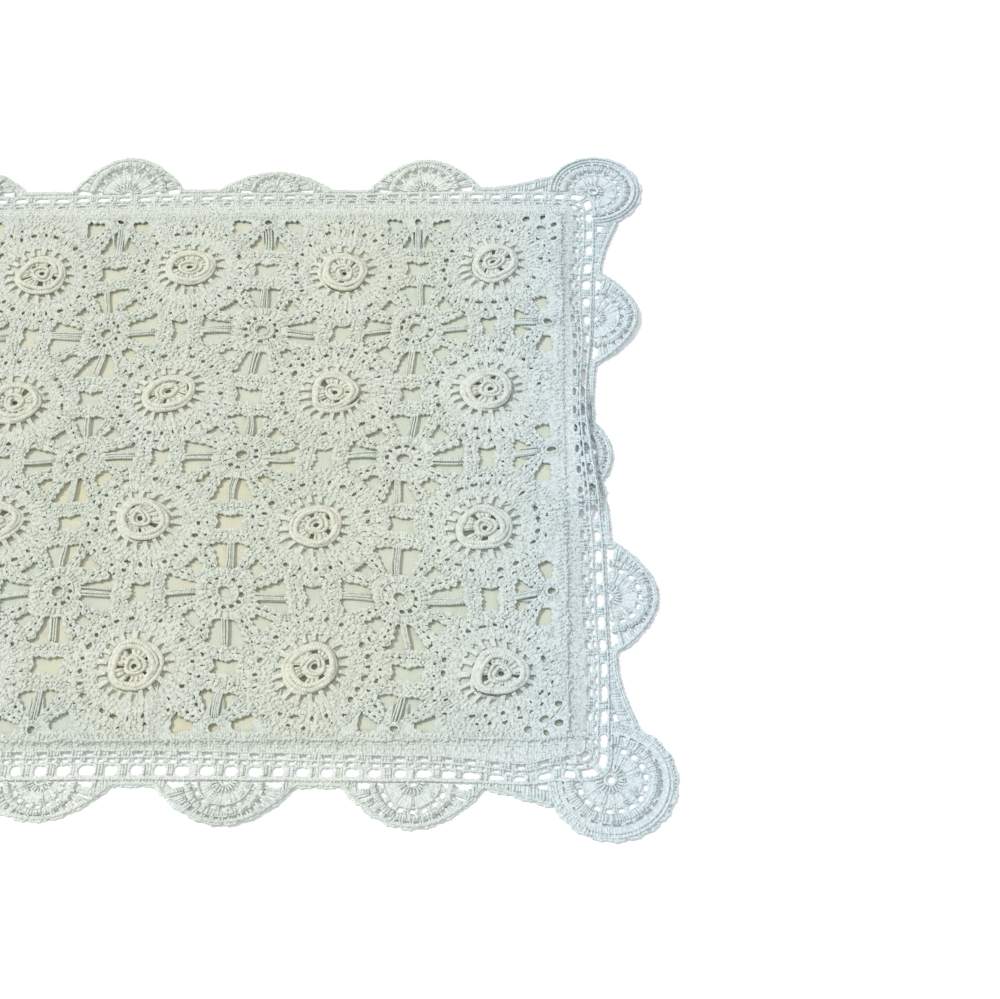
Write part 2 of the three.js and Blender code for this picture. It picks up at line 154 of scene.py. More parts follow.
class ShamYarnSettings(bpy.types.PropertyGroup):
    thread: length_setting(
        "Thread", "Thickness of the crochet cotton as it lies in a stitch", 0.00092, 0.0004, 0.0014)
    unevenness: length_setting("Unevenness", "How far a stitch strays from its place", 0.00016, 0.0, 0.0005)
    rose_height: length_setting(
        "Rose height", "How far the rolled rims of a rose stand over the lace", 0.0027, 0.001, 0.004)
    lace: colour_setting("Lace", "Colour of the lace ground", "#E6ECDF")
    rose: colour_setting("Roses", "Colour of the raised roses", "#F1F1DF")
    border: colour_setting("Border", "Colour of the border and the corner fans", "#F5FBF1")


class ShamClothSettings(bpy.types.PropertyGroup):
    thickness: length_setting("Thickness", "Thickness of the plain cotton cloth", 0.0004, 0.0002, 0.0008)
    rumple: length_setting(
        "Rumple", "Height of the soft folds of the cloth under the lace", 0.0003, 0.0, 0.0003)
    lining: colour_setting("Lining", "Colour of the cloth under the lace", "#D6DDCF")
    yellowed: colour_setting("Yellowed lining", "Colour of its yellowed patches", "#E4DFC1")


class ShamStageSettings(bpy.types.PropertyGroup):
    sun: bpy.props.FloatProperty(
        name="Key lamp", description="Strength of the soft lamp from the left", default=1.6, min=0, max=10)
    fill: bpy.props.FloatProperty(
        name="Fill", description="Strength of the even light from all round", default=0.62, min=0, max=3)


# ---------------------------------------------------------------- plain numbers

def smooth(t):
    """The smooth step 3t2 - 2t3 of a share held between 0 and 1."""
    t = np.clip(t, 0, 1)
    return t * t * (3 - 2 * t)


def xyz(x, y, z=0.0):
    """Points from their coordinates."""
    x, y, z = np.broadcast_arrays(x, y, z)
    return np.stack([x, y, z], -1).astype(float)


def polar(radius, angle, height=0.0):
    """Points at a distance and an angle (radians) from the middle, at a height."""
    radius, angle, height = np.broadcast_arrays(radius, angle, height)
    return np.stack([radius * np.cos(angle), radius * np.sin(angle), height], -1).astype(float)


def centred(count):
    """Whole steps from -(count - 1) / 2 to (count - 1) / 2."""
    return np.arange(count) - (count - 1) / 2


def hole(inner, outer):
    """The radii from an inner to an outer round and how wide an oval hole between them is there, as a
    share: 0.3 at its ends, then half a sine up to 1."""
    t = np.linspace(0, 1, 4)
    return inner + (outer - inner) * t, 0.3 + 0.7 * np.sin(np.pi * t)


def rose_middle(row, column):
    """The even place of a rose: whole pitches from the middle of the panel."""
    return (column - (COLUMNS - 1) / 2) * PITCH, ((ROWS - 1) / 2 - row) * PITCH


def blend(table, x, y):
    """A value of a drift table at a spot: smooth steps between the four nearest roses."""
    column = np.clip(x / PITCH + (COLUMNS - 1) / 2, 0, COLUMNS - 1)
    row = np.clip((ROWS - 1) / 2 - y / PITCH, 0, ROWS - 1)
    c = np.minimum(np.floor(column), COLUMNS - 2).astype(int)
    r = np.minimum(np.floor(row), ROWS - 2).astype(int)
    u, v = smooth(column - c), smooth(row - r)
    near = table[r, c] * (1 - u) + table[r, c + 1] * u
    far = table[r + 1, c] * (1 - u) + table[r + 1, c + 1] * u
    return near * (1 - v) + far * v


def lay(points):
    """Points of the lace or the cloths moved by the drift of their spot, which dies away over the panel's
    margin, and by crossed sines some 18 to 53 mm long that pull the lace out of true, which die away over
    its last 5 mm."""
    x, y = points[..., 0], points[..., 1]
    from_end, from_edge = HALF_LENGTH - np.abs(x), HALF_WIDTH - np.abs(y)
    share = smooth(from_end / PANEL_MARGIN) * smooth(from_edge / PANEL_MARGIN)
    pull = smooth(from_end / 5) * smooth(from_edge / 5)
    pull_x = (0.8 * np.sin(y / 8.5 + 1.7 * np.sin(x / 23)) + 0.55 * np.sin((x + 0.6 * y) / 6.2 + 2)
              + 0.3 * np.sin(x / 3.1 + y / 3.9))
    pull_y = (0.8 * np.sin(x / 9.1 + 1.5 * np.sin(y / 19) + 1) + 0.55 * np.sin((y - 0.5 * x) / 5.7)
              + 0.3 * np.sin(y / 3.3 - x / 4.1))
    moved = points.copy()
    moved[..., 0] = x + share * blend(DRIFT_ALONG, x, y) + pull * pull_x
    moved[..., 1] = y + share * blend(DRIFT_BACK, x, y) + pull * pull_y
    return moved


def hubs(side):
    """The scallops of a side: (place along the side, depth, height of the tip)."""
    half, scallops = SIDE_HALF[side], SCALLOPS[side]
    spacing = 2 * (half + BORDER) / (len(scallops) + 1)
    return [((i + 1) * spacing - half - BORDER + shift, depth, lift)
            for i, (shift, depth, lift) in enumerate(scallops)]


def bell(off, half):
    """1 in the middle, falling on half a cosine to 0 at the half width."""
    return (1 + np.cos(np.pi * np.minimum(1, np.abs(off) / half))) / 2


def bells(table, side, along, column=0):
    """The sum of a side's bells, each amount x exp(-2 off2), off being the way from its spot over its
    reach. column says which of the amounts."""
    total = np.zeros(np.shape(along))
    for name, at, reach, *amounts in table:
        if name == side:
            total = total + amounts[column] * np.exp(-2 * ((along - at) / reach) ** 2)
    return total


def edge(side, along):
    """How far a side reaches past its base line and how high its edge stands: the greatest of the valley, a
    bell for each scallop and a wide low bell for each corner fan."""
    reach = np.full(np.shape(along), VALLEY)
    lift = np.zeros(np.shape(along))
    for hub, depth, height in hubs(side):
        share = bell(along - hub, SCALLOP_HALF_WIDTH) ** SCALLOP_FULLNESS
        reach = np.maximum(reach, VALLEY + (depth - VALLEY) * share)
        lift = np.maximum(lift, height * share)
    corner = SIDE_HALF[side] + BORDER
    for name, hub in zip(SIDE_ENDS[side], (-corner, corner)):
        flank = VALLEY + FAN_FLANK_SHARE * (FAN_RADIUS[name] - VALLEY) * bell(along - hub, FAN_FLANK)
        reach = np.maximum(reach, flank)
    return reach, lift


def fan_end(side, end):
    """Where the arc of a corner fan meets the flank of a side: the first spot from the hub at which the arc
    falls below the flank."""
    corner = SIDE_HALF[side] + BORDER
    radius = FAN_RADIUS[SIDE_ENDS[side][end]]
    off = np.linspace(BORDER - 1, radius, 200)
    sign = 1 if end else -1
    flank, _ = edge(side, sign * (corner - off))
    arc = np.sqrt(np.maximum(0, radius * radius - off * off))
    return corner - off[np.argmax(arc < flank)]


def row_drift(side, along, out):
    """How far a spot of a side lies off its even place: the bells of its rows of holes, nothing at the
    panel and at the side's ends, and 0.4 of it past the base line."""
    ends = smooth((SIDE_HALF[side] - np.abs(along)) / 16)
    return bells(ROW_DRIFTS, side, along) * ends * smooth(out / 7) * (1 - 0.6 * smooth((out - 9) / 8))


def beside_panel(side, along, out, height):
    """Points at a place along a side of the panel, out from it and at a height."""
    sign = 1 if side in ("back", "right") else -1
    if side in ("front", "back"):
        return xyz(along, sign * (HALF_WIDTH + out), height)
    return xyz(sign * (HALF_LENGTH + out), along, height)


def place_on_side(side):
    """Gives the function that lays a point (along, out, height) of a side's own plane on the border.
    Out and height follow the section of the border: a slope down from the panel, a crease, and on one side
    a flat pleat that folds the cloth back under itself and out again."""
    def place(points):
        along, out, rise = points[..., 0], points[..., 1], points[..., 2]
        ridge, drawn = bells(CREASES, side, along), bells(CREASES, side, along, 1)
        reach, lift = edge(side, along)
        band, base = BAND - drawn / 2, BORDER - drawn
        formed = np.clip((PLEAT_HALF - np.abs(along - PLEAT_AT)) / PLEAT_RAMP, 0, 1) * (side == "right")
        raised = 2 * PLEAT_LAYER * np.clip(formed / PLEAT_STEP_SHARE, 0, 1)
        depth = PLEAT_DEPTH * np.clip((formed - PLEAT_STEP_SHARE) / (1 - PLEAT_STEP_SHARE), 0, 1)
        past = np.maximum(0, out - BORDER)
        on_band = np.clip(out / BAND, None, 1)
        past_band = np.clip((out - BAND) / (BORDER - BAND), 0, 1)
        folded = np.abs(past - depth) - depth  # out past the base line, back, and out again
        where = band * on_band + (base - band) * past_band + folded + row_drift(side, along, out)
        crest = np.maximum(ridge, raised)
        at_base = raised if side == "right" else ridge * reach / (reach + base - band)
        fall = raised / 2 * (2 - smooth(past / 2) - smooth((past - depth) / 2))
        height = LACE_Z + (crest - LACE_Z) * np.clip(on_band, 0, 1)
        height = height + (at_base - crest) * past_band
        beyond = np.where(raised > 0, fall, at_base * (1 - smooth(past / reach)))
        height = np.where(past > 0, beyond, height)
        height = height + lift * smooth(past / np.maximum(reach, 1)) + GAP + rise
        return beside_panel(side, along, where, height)
    return place


def place_on_corner(name):
    """Gives the function that lays a point (u, v, height) from the panel's corner on the border: the slope
    falls with the greater of u and v."""
    sign_x, sign_y = CORNERS[name]

    def place(points):
        u, v, rise = points[..., 0], points[..., 1], points[..., 2]
        slope = LACE_Z * np.clip((BAND - np.maximum(u, v)) / BAND, 0, 1)
        return xyz(sign_x * (HALF_LENGTH + u), sign_y * (HALF_WIDTH + v), slope + GAP + rise)
    return place


# ---------------------------------------------------------------- yarns

class Yarns:
    """The yarns of one piece in millimetres, before they become one mesh: bundles of round threads, and of
    flat strips that stand for ground worked so close that no thread shows."""

    def __init__(self, seed, thread, unevenness):
        self.random = np.random.default_rng(seed)
        self.thread = thread
        self.unevenness = unevenness
        self.bundles = []

    def add(self, paths, thick=1.0, sides=4, closed=False, tone=0.0, stray=1.0, flat=1.0):
        """Keeps a bundle of threads (count, points, 3). thick is in threads, flat is height over width, and
        tone is 0 for the piece's own colour and 1 for its second one."""
        paths = np.asarray(paths, float)
        if paths.ndim == 2:
            paths = paths[None]
        if len(paths):
            paths = paths + self.random.normal(0, self.unevenness * stray, (len(paths), 1, 3))
            radius = np.broadcast_to(np.asarray(thick, float) * self.thread / 2, paths.shape[:2])
            self.bundles.append((paths[:, :, None], radius, flat, sides, closed, tone))

    def strip(self, near, far, tone=0.0, closed=False, teeth=0.12, high=0.4):
        """Keeps flat ground between two lines (count, points, 3) or (points, 3), high above and below them.
        Its edges swing by the teeth from point to point, as worked edges do."""
        near, far = np.asarray(near, float), np.asarray(far, float)
        if near.ndim == 2:
            near, far = near[None], far[None]
        if not len(near):
            return
        across = far - near
        across /= np.maximum(np.linalg.norm(across, axis=-1, keepdims=True), 1e-9)
        swing = np.where(np.arange(near.shape[1]) % 2, 1.0, -1.0)
        apart = teeth * (swing + self.random.normal(0, 0.5, (2, *near.shape[:2])))[..., None]
        lines = np.stack([near - apart[0] * across, far + apart[1] * across], 2)
        # so no two strips lie in one plane
        lines[..., 2] += self.random.uniform(-0.07, 0.07, (len(near), 1, 1))
        self.bundles.append((lines, None, high, 4, closed, tone))

    def rope(self, line, thick, **look):
        """A row of chain stitches along a line of points, two points to a stitch: thick and thin in turn by
        a fifth, and 0.12 mm to either side."""
        ahead = np.gradient(line, axis=0)
        across = np.stack([-ahead[:, 1], ahead[:, 0], 0 * ahead[:, 0]], -1)
        across /= np.maximum(np.linalg.norm(across, axis=1, keepdims=True), 1e-9)
        turn = np.where(np.arange(len(line)) % 2, 1.0, -1.0)
        self.add(line + 0.12 * turn[:, None] * across, thick * (1 + 0.2 * turn), **look)

    def toned(self, tone):
        """Every bundle in one tone."""
        self.bundles = [(*bundle[:-1], tone) for bundle in self.bundles]
        return self

    def moved(self, place):
        """Every line laid by a function of its points."""
        self.bundles = [(place(lines), *rest) for lines, *rest in self.bundles]
        return self


def rings_of(lines, radius, flat, sides, closed):
    """The rings of points round a bundle's lines.
    A thread: line + radius (cos turn x side + flat sin turn x rise), with side level and square to the
    line, and rise square to both. A strip: its two lines, moved up and down."""
    middle = lines.mean(2)
    if closed:
        ahead = np.roll(middle, -1, 1) - np.roll(middle, 1, 1)
    else:
        ahead = np.gradient(middle, axis=1)
    ahead /= np.maximum(np.linalg.norm(ahead, axis=-1, keepdims=True), 1e-9)
    side = np.stack([ahead[..., 1], -ahead[..., 0], np.zeros_like(ahead[..., 0])], -1)
    if radius is None:
        near, far = lines[:, :, 0], lines[:, :, 1]
        if ((far - near) * side).sum() < 0:
            near, far = far, near
        up = np.array([0, 0, flat])
        return np.stack([far + up, near + up, near - up, far - up], 2)
    level = np.linalg.norm(side, axis=-1, keepdims=True)
    side = np.where(level > 1e-6, side / np.maximum(level, 1e-9), [1.0, 0.0, 0.0])
    rise = np.cross(side, ahead)
    turn = TURN * (np.arange(sides) + 0.5) / sides
    ring = np.cos(turn)[:, None] * side[..., None, :] + flat * np.sin(turn)[:, None] * rise[..., None, :]
    return middle[:, :, None] + radius[:, :, None, None] * ring


def skin(rings, closed):
    """The quads between the rings (count, points, sides, 3) of a bundle, facing out, with their ends
    closed, and for each quad's corners the length along and round in millimetres."""
    count, steps, sides, _ = rings.shape
    spans = steps if closed else steps - 1
    i = np.arange(count)[:, None, None] * steps
    a = np.arange(spans)[None, :, None]
    j = np.arange(sides)[None, None, :]
    b, k = (a + 1) % steps, (j + 1) % sides
    ring, following = (i + a) * sides, (i + b) * sides
    walls = np.stack([ring + j, following + j, following + k, ring + k], -1)
    middle = rings.mean(2)
    gone = np.linalg.norm(np.roll(middle, -1, 1) - middle, axis=-1)
    length = np.concatenate([np.zeros((count, 1)), np.cumsum(gone, 1)], 1)
    around = np.linalg.norm(np.roll(rings, -1, 2) - rings, axis=-1).mean((0, 1))
    around = np.concatenate([[0], np.cumsum(around)])
    low, high = length[:, :spans, None], length[:, 1:spans + 1, None]
    here, there = around[None, None, :-1], around[None, None, 1:]
    shape = walls.shape[:-1]
    uv = np.stack([np.stack([np.broadcast_to(p, shape), np.broadcast_to(q, shape)], -1)
                   for p, q in ((low, here), (high, here), (high, there), (low, there))], -2)
    quads, uv = walls.reshape(-1, 4), uv.reshape(-1, 4, 2)
    if not closed:
        first = np.arange(count)[:, None] * steps * sides
        last = first + (steps - 1) * sides
        wedges = np.array([[0, m, m + 1, m + 2] for m in range(1, sides - 1, 2)])
        caps = np.concatenate([(first[:, None] + wedges).reshape(-1, 4),
            (last[:, None] + wedges[:, ::-1]).reshape(-1, 4)])
        quads = np.concatenate([quads, caps])
        uv = np.concatenate([uv, np.zeros((len(caps), 4, 2))])
    return quads, uv


def mesh_object(name, points, quads, uv=None, tone=None, soft=None):
    """A new object at the origin from points in millimetres and quads, with its lengths as a UV map and its
    tone as an attribute. soft says which faces are shaded smooth."""
    mesh = bpy.data.meshes.new(name)
    mesh.from_pydata(points * MM, [], quads)
    mesh.polygons.foreach_set("use_smooth", np.ones(len(mesh.polygons), bool) if soft is None else soft)
    if uv is not None:
        layer = mesh.uv_layers.new(name="yarn")
        layer.data.foreach_set("uv", uv.reshape(-1).astype(np.float32))
    if tone is not None:
        attribute = mesh.attributes.new("tone", "FLOAT", "POINT")
        attribute.data.foreach_set("value", tone.astype(np.float32))
    mesh.update(calc_edges=True)
    made = bpy.data.objects.new(name, mesh)
    bpy.context.scene.collection.objects.link(made)
    return made


def knit(name, bundles):
    """Gives every bundle its skin and joins the lot into one mesh object."""
    points, quads, uvs, tones, softs, start = [], [], [], [], [], 0
    for lines, radius, flat, sides, closed, tone in bundles:
        rings = rings_of(lines, radius, flat, sides, closed)
        rings[..., 2] = np.maximum(rings[..., 2], 0.02)  # what lies on the floor is flat underneath
        q, uv = skin(rings, closed)
        points.append(rings.reshape(-1, 3))
        quads.append(q + start)
        uvs.append(uv)
        tones.append(np.full(rings[..., 0].size, tone))
        softs.append(np.full(len(q), radius is not None))
        start += rings[..., 0].size
    return mesh_object(name, *map(np.concatenate, (points, quads, uvs, tones, softs)))


def finish_piece(piece, material, nodes=()):
    """Gives a piece its material, its body and the nodes that it stands for."""
    piece.data.materials.append(material)
    if nodes:
        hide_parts(*nodes)
    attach(piece, "root")
    return piece


def crochet(name, yarns, material, node):
    """Makes a crocheted piece of two objects: its ground, which is the sheet that stands for the node, and
    the stitches on it."""
    ground = knit(name, [bundle for bundle in yarns.bundles if bundle[1] is None])
    finish_piece(ground, material, [node])
    raised = knit(name + "_stitches", [bundle for bundle in yarns.bundles if bundle[1] is not None])
    finish_piece(raised, material)


# ---------------------------------------------------------------- stitches

def ring_chain(yarns, radius, stitches, thick):
    """A closed round of chain stitches."""
    angle = np.linspace(0, TURN, 2 * stitches, endpoint=False)
    yarns.rope(polar(radius, angle, 0.25), thick, closed=True)


def spread(start, end, steps, bow=0.0):
    """Straight stitches from start to end points (count, 3), bowed upwards by half a sine."""
    t = np.linspace(0, 1, steps)[None, :, None]
    paths = start[:, None] * (1 - t) + end[:, None] * t
    paths[..., 2] += bow * np.sin(np.pi * t[..., 0])
    return paths


def rows_between(yarns, starts, ends, thick):
    """Stitches side by side between two rows of points."""
    yarns.add(spread(starts, ends, 2, 0.1), thick)


def radial(yarns, angles, inner, outer, thick):
    """Stitches from an inner to an outer radius at the given angles."""
    rows_between(yarns, polar(inner, angles, 0.22), polar(outer, angles, 0.22), thick)


def stitches(yarns, spots, turns, length=1.5, thick=1.3, **look):
    """Short arched stitches at spots (count, 3): each comes up out of the ground, goes over its spot in its
    own direction and goes in again."""
    random = yarns.random
    spots = np.asarray(spots, float)
    turns = np.broadcast_to(turns, len(spots)) + random.normal(0, 0.3, len(spots))
    spots = spots + random.normal(0, 0.2, spots.shape) * [1, 1, 0.25]
    along = polar(1.0, turns) * (length * random.uniform(0.8, 1.2, len(spots)))[:, None] / 2
    low = np.array([0, 0, -0.32])
    paths = np.stack([spots - along + low, spots, spots + along + low], 1)
    yarns.add(paths, thick * random.uniform(0.85, 1.15, (len(spots), 1)), stray=0, **look)


def tangle(yarns, spots, low, high):
    """Stitches at spots, each turned by an angle of its own between two angles."""
    stitches(yarns, spots, yarns.random.uniform(low, high, len(spots)), length=1.8)


def round_stitches(yarns, radius, pitch, height=0.32, lean=0.45, **look):
    """A round of short stitches that lean to the left and the right of the radius in turn."""
    count = int(TURN * radius / pitch)
    angle = (np.arange(count) + yarns.random.uniform(0.2, 0.8)) * TURN / count - np.pi
    turns = angle + np.where(np.arange(count) % 2, lean, -lean)
    stitches(yarns, polar(radius, angle, height), turns, **look)


def blocks(count, share, threads, phase=0.0):
    """Angles of evenly spaced blocks of stitches: each block fills a share of its step with a number of
    threads."""
    step = TURN / count
    inside = centred(threads) / threads * share
    return ((np.arange(count)[:, None] + inside) * step + phase).reshape(-1)


def round_strip(yarns, inner, outer, pitch=1.5, height=0.0, **look):
    """A closed round of ground between two radii."""
    steps = int(TURN * outer / pitch) // 2 * 2
    angle = np.linspace(0, TURN, steps, endpoint=False)
    yarns.strip(polar(inner, angle, height), polar(outer, angle, height), closed=True, **look)


def block_strips(yarns, inner, outer, count, gap, phase):
    """Evenly spaced blocks of ground between two rounds. The gaps between them are ovals, gap wide."""
    radius, bulge = hole(inner, outer)
    step = TURN / count
    middle = (np.arange(count) * step + phase)[:, None]
    gaps = gap * yarns.random.uniform(0.2, 1.5, (count, 1)) ** 1.3
    near = step / 2 - gaps * bulge / 2 / radius
    far = step / 2 - np.roll(gaps, -1, 0) * bulge / 2 / radius
    yarns.strip(polar(radius, middle - near), polar(radius, middle + far), teeth=0.08)


# ---------------------------------------------------------------- rose motifs

def rose(yarns, height):
    """The raised rose: a broad rim of flat rolled turns of one spiral, each half over the next, a small
    curl off its middle, and arcs of ground and short threads between them.
    The spiral's radius grows evenly with the angle, with slow wobbles that don't repeat from turn to turn,
    so that its folds run together here and there."""
    random = yarns.random
    turns = random.uniform(2.3, 2.8)
    steps = int(turns * 38)
    t = np.linspace(0, 1, steps)
    angle = random.uniform(0, TURN) + TURN * turns * t
    wobble = (0.3 * np.sin(2 * angle + random.uniform(0, 6))
              + 0.25 * np.sin(3 * angle + random.uniform(0, 6))
              + 0.3 * np.sin(1.37 * angle + random.uniform(0, 6)) + 0.15 * np.sin(4.6 * angle))
    radius = 7.5 + 3.4 * t + wobble
    stand = height * (0.74 - 0.4 * t + 0.06 * np.sin(3.3 * angle + random.uniform(0, 6)))
    ends = smooth(np.minimum(t, 1 - t) / 0.06)
    path = polar(radius, angle, stand * (0.3 + 0.7 * ends))
    thick = (2.6 + 0.25 * np.sin(2.3 * angle) + 0.1 * random.normal(0, 1, steps)) * (0.4 + 0.6 * ends)
    yarns.add(path, thick, sides=6, stray=0.3, flat=0.5)

    off = np.array([random.uniform(-0.8, 0.8), random.uniform(-0.6, 0.6), 0])
    angle = np.linspace(0, TURN, 16, endpoint=False)
    yarns.strip(polar(1.3, angle, height * 0.36) + off, polar(4.6, angle, height * 0.36) + off,
        closed=True, high=0.35, teeth=0.1)
    steps = 52
    t = np.linspace(0, 1, steps)
    angle = random.uniform(0, 6) + TURN * random.uniform(1.5, 1.8) * t
    radius = 2.1 + 2.9 * t + 0.25 * np.sin(3 * angle + random.uniform(0, 6)) + 0.2 * np.sin(1.7 * angle)
    ends = smooth(np.minimum(t, 1 - t) / 0.08)
    curl = polar(radius, angle, height * (0.72 - 0.14 * t) * (0.4 + 0.6 * ends)) + off
    thick = (2.0 + 0.35 * np.sin(2.6 * angle) + 0.15 * random.normal(0, 1, steps)) * (0.5 + 0.5 * ends)
    yarns.add(curl, thick, stray=0.3, flat=0.6)
    start = random.uniform(0, 6)
    for share in range(5):  # arcs of ground, with a dark gap between two of them here and there
        angle = start + share * TURN / 5 + np.linspace(0, TURN / 5 - random.uniform(0.05, 0.5), 7)
        yarns.strip(polar(4.4, angle, height * 0.36) + off, polar(8.3, angle, height * 0.34),
            high=0.35, teeth=0.25)
        yarns.add(spread(polar(5.0, angle[1::2], height * 0.45) + off,
            polar(7.8, angle[1::2], height * 0.45), 3), 1.4)
    yarns.toned(1.0)


def uneven(points, numbers):
    """A motif pulled out of round: its radius swells twice and three times round it, and less towards its
    edge, which stays true."""
    size = np.hypot(points[..., 0], points[..., 1])
    angle = np.arctan2(points[..., 1], points[..., 0])
    free = np.clip((29 - size) / 14, 0, 1)  # all of the swell within 15 mm, none past 29 mm
    a, b, c, d = numbers
    swell = 1 + free * (0.035 * a * np.cos(2 * angle + b) + 0.02 * c * np.cos(3 * angle + d))
    moved = points.copy()
    moved[..., :2] *= swell[..., None]
    return moved


def turned(points, quarter):
    """Points turned about the middle by quarters of a turn."""
    c, s = ((1, 0), (0, 1), (-1, 0), (0, -1))[quarter % 4]
    x, y = points[..., 0], points[..., 1]
    return np.stack([c * x - s * y, s * x + c * y, points[..., 2]], -1)


def tabs(yarns, quarter, limit):
    """The two tabs of a motif on one side, which meet the neighbour's at the limit: each is two strips with
    pits between them, and a low bump stands between the tabs."""
    t = np.linspace(0, 1, 8)
    for side in (-1, 1):
        for near, far in ((3.2, 6.6), (6.95, 10.3)):  # from the middle line of the side
            root = np.sqrt(MOTIF_ROUND ** 2 - ((near + far) / 2) ** 2)
            x = root + (limit - root) * t
            flare = 0.5 * np.cos(TURN * t)
            yarns.strip(
                turned(xyz(x, side * (near - flare * (near < 5))), quarter),
                turned(xyz(x, side * (far + flare * (far > 9))), quarter), teeth=0.36)
            rows = np.arange(root + 0.6, limit, 1.75)
            spots = xyz(rows, side * (near + far) / 2, 0.32)
            stitches(yarns, turned(spots, quarter),
                quarter * np.pi / 2 + yarns.random.uniform(-1.2, 1.2, len(rows)), length=1.9)
        rows = np.array([27.6, 30.2, 32.9])  # stitches across the two strips
        stitches(yarns, turned(xyz(rows, side * 7.3, 0.2), quarter), (quarter + 1) * np.pi / 2,
            length=2.6, thick=1.6)
    angle = np.radians(np.linspace(-7.5, 7.5, 7))
    bump = 27.6 + 1.9 * np.cos(angle / angle[-1] * np.pi / 2)
    yarns.strip(turned(polar(27.0, angle), quarter), turned(polar(bump, angle), quarter))
    stitches(yarns, turned(polar(28.3, angle[1:-1:2], 0.3), quarter), quarter * np.pi / 2)


def straight_edge(yarns, quarter, limit):
    """The side of an outer motif that lies along the edge of the panel: ground out to the limit, with short
    stitches on it."""
    y = np.linspace(-13.4, 13.4, 20)
    yarns.strip(turned(xyz(np.sqrt(MOTIF_ROUND ** 2 - y * y), y), quarter),
        turned(xyz(limit, y), quarter), teeth=0.4)
    for x in (28.4, 29.7):
        y = np.arange(-12.5, 13, 1.9)
        stitches(yarns, turned(xyz(x, y, 0.32), quarter),
            quarter * np.pi / 2 + np.where(np.arange(len(y)) % 2, 0.5, -0.5))


def motif(yarns, reach, height):
    """One rose motif about its own middle: the rose, a round of open loops, a close round, a round of small
    holes, a round of ground with pits, and on each side two tabs to the neighbour or a straight edge.
    reach is how far it may go on its four sides, the right one first and then anticlockwise."""
    random = yarns.random
    rose(yarns, height)
    middle = ((np.arange(MOTIF_LOOPS) + random.uniform(0, 1)) * TURN / MOTIF_LOOPS)[:, None]
    radius, rise = np.array([15.6, 13.8, 11.6]), np.array([0, 0.16, 0.34]) * height
    half = np.array([1.35, 0.85, 0.9]) / radius
    yarns.strip(polar(radius, middle - half, rise), polar(radius, middle + half, rise), teeth=0.03,
        high=0.32, tone=0.4)
    round_strip(yarns, 10.2, 15.4, 2.2, height=-0.78, tone=0.4, high=0.3)
    # the close round
    round_strip(yarns, 15.1, 20.4, teeth=0.35)
    round_stitches(yarns, 16.3, 2.1, 0.24, lean=0.5, length=2.0)
    round_stitches(yarns, 17.9, 2.3, 0.24, lean=0.9)
    round_stitches(yarns, 19.5, 2.2, 0.24, lean=0.7, length=2.0)
    # the round of small holes, and a narrow one with pits
    phase = random.uniform(0, 6)
    block_strips(yarns, 20.2, 22.6, 24, 2.3, phase)
    radial(yarns, blocks(24, 0.4, 2, phase), 20.3, 22.4, 1.15)
    round_strip(yarns, 22.4, 24.5, teeth=0.3)
    round_stitches(yarns, 23.4, 2.35)
    block_strips(yarns, 24.3, 25.9, 31, 1.6, phase)
    round_stitches(yarns, 25.1, 5.2)
    # the last round
    round_strip(yarns, 25.7, 27.7, 1.6, teeth=0.32)
    round_stitches(yarns, 26.2, 2.4)
    round_stitches(yarns, 27.4, 2.1)
    for quarter, limit in enumerate(reach):
        if limit > PANEL_MARGIN:
            tabs(yarns, quarter, limit)
        else:
            straight_edge(yarns, quarter, limit)
    numbers = (random.uniform(-1, 1), random.uniform(0, 6), random.uniform(-1, 1), random.uniform(0, 6))
    return yarns.moved(lambda points: uneven(points, numbers))


# ---------------------------------------------------------------- wheels

def spoke(yarns, angle, inner, outer, width, **look):
    """A spoke of close ground: two strips with pits between them, that widen outwards, and short stitches
    on both."""
    along, beside = polar(1.0, angle), polar(1.0, angle + np.pi / 2)
    count = max(4, int((outer - inner) / 1.3))
    t = np.linspace(0, 1, count)[:, None]
    middle = (inner + (outer - inner) * t) * along
    reach = (width[0] + (width[1] - width[0]) * t) / 2
    for sign in (-1, 1):
        yarns.strip(middle + sign * 0.16 * beside, middle + sign * reach * beside, teeth=0.4, **look)
        spots = middle[1:] + sign * (0.35 + reach[1:] / 2) * beside + [0, 0, 0.3]
        if count > 8:
            spots = spots[np.arange(len(spots)) % 4 > 0]
        stitches(yarns, spots, angle + sign * 0.6 * np.where(np.arange(len(spots)) % 2, 1, -0.4),
            length=1.8, **look)
    spots = middle[1::2] + [0, 0, 0.18]
    stitches(yarns, spots, angle + np.pi / 2, length=2.0, thick=1.5, **look)


def bar(yarns, angle, inner, outer):
    """A bar of four parallel threads 0.72 mm apart, and a little more at the inner end."""
    along, beside = polar(1.0, angle), polar(1.0, angle + np.pi / 2)
    shift = (centred(4) * 0.72)[:, None] * beside
    yarns.add(spread(inner * along + shift * 1.15, outer * along + shift, 5, 0.12))


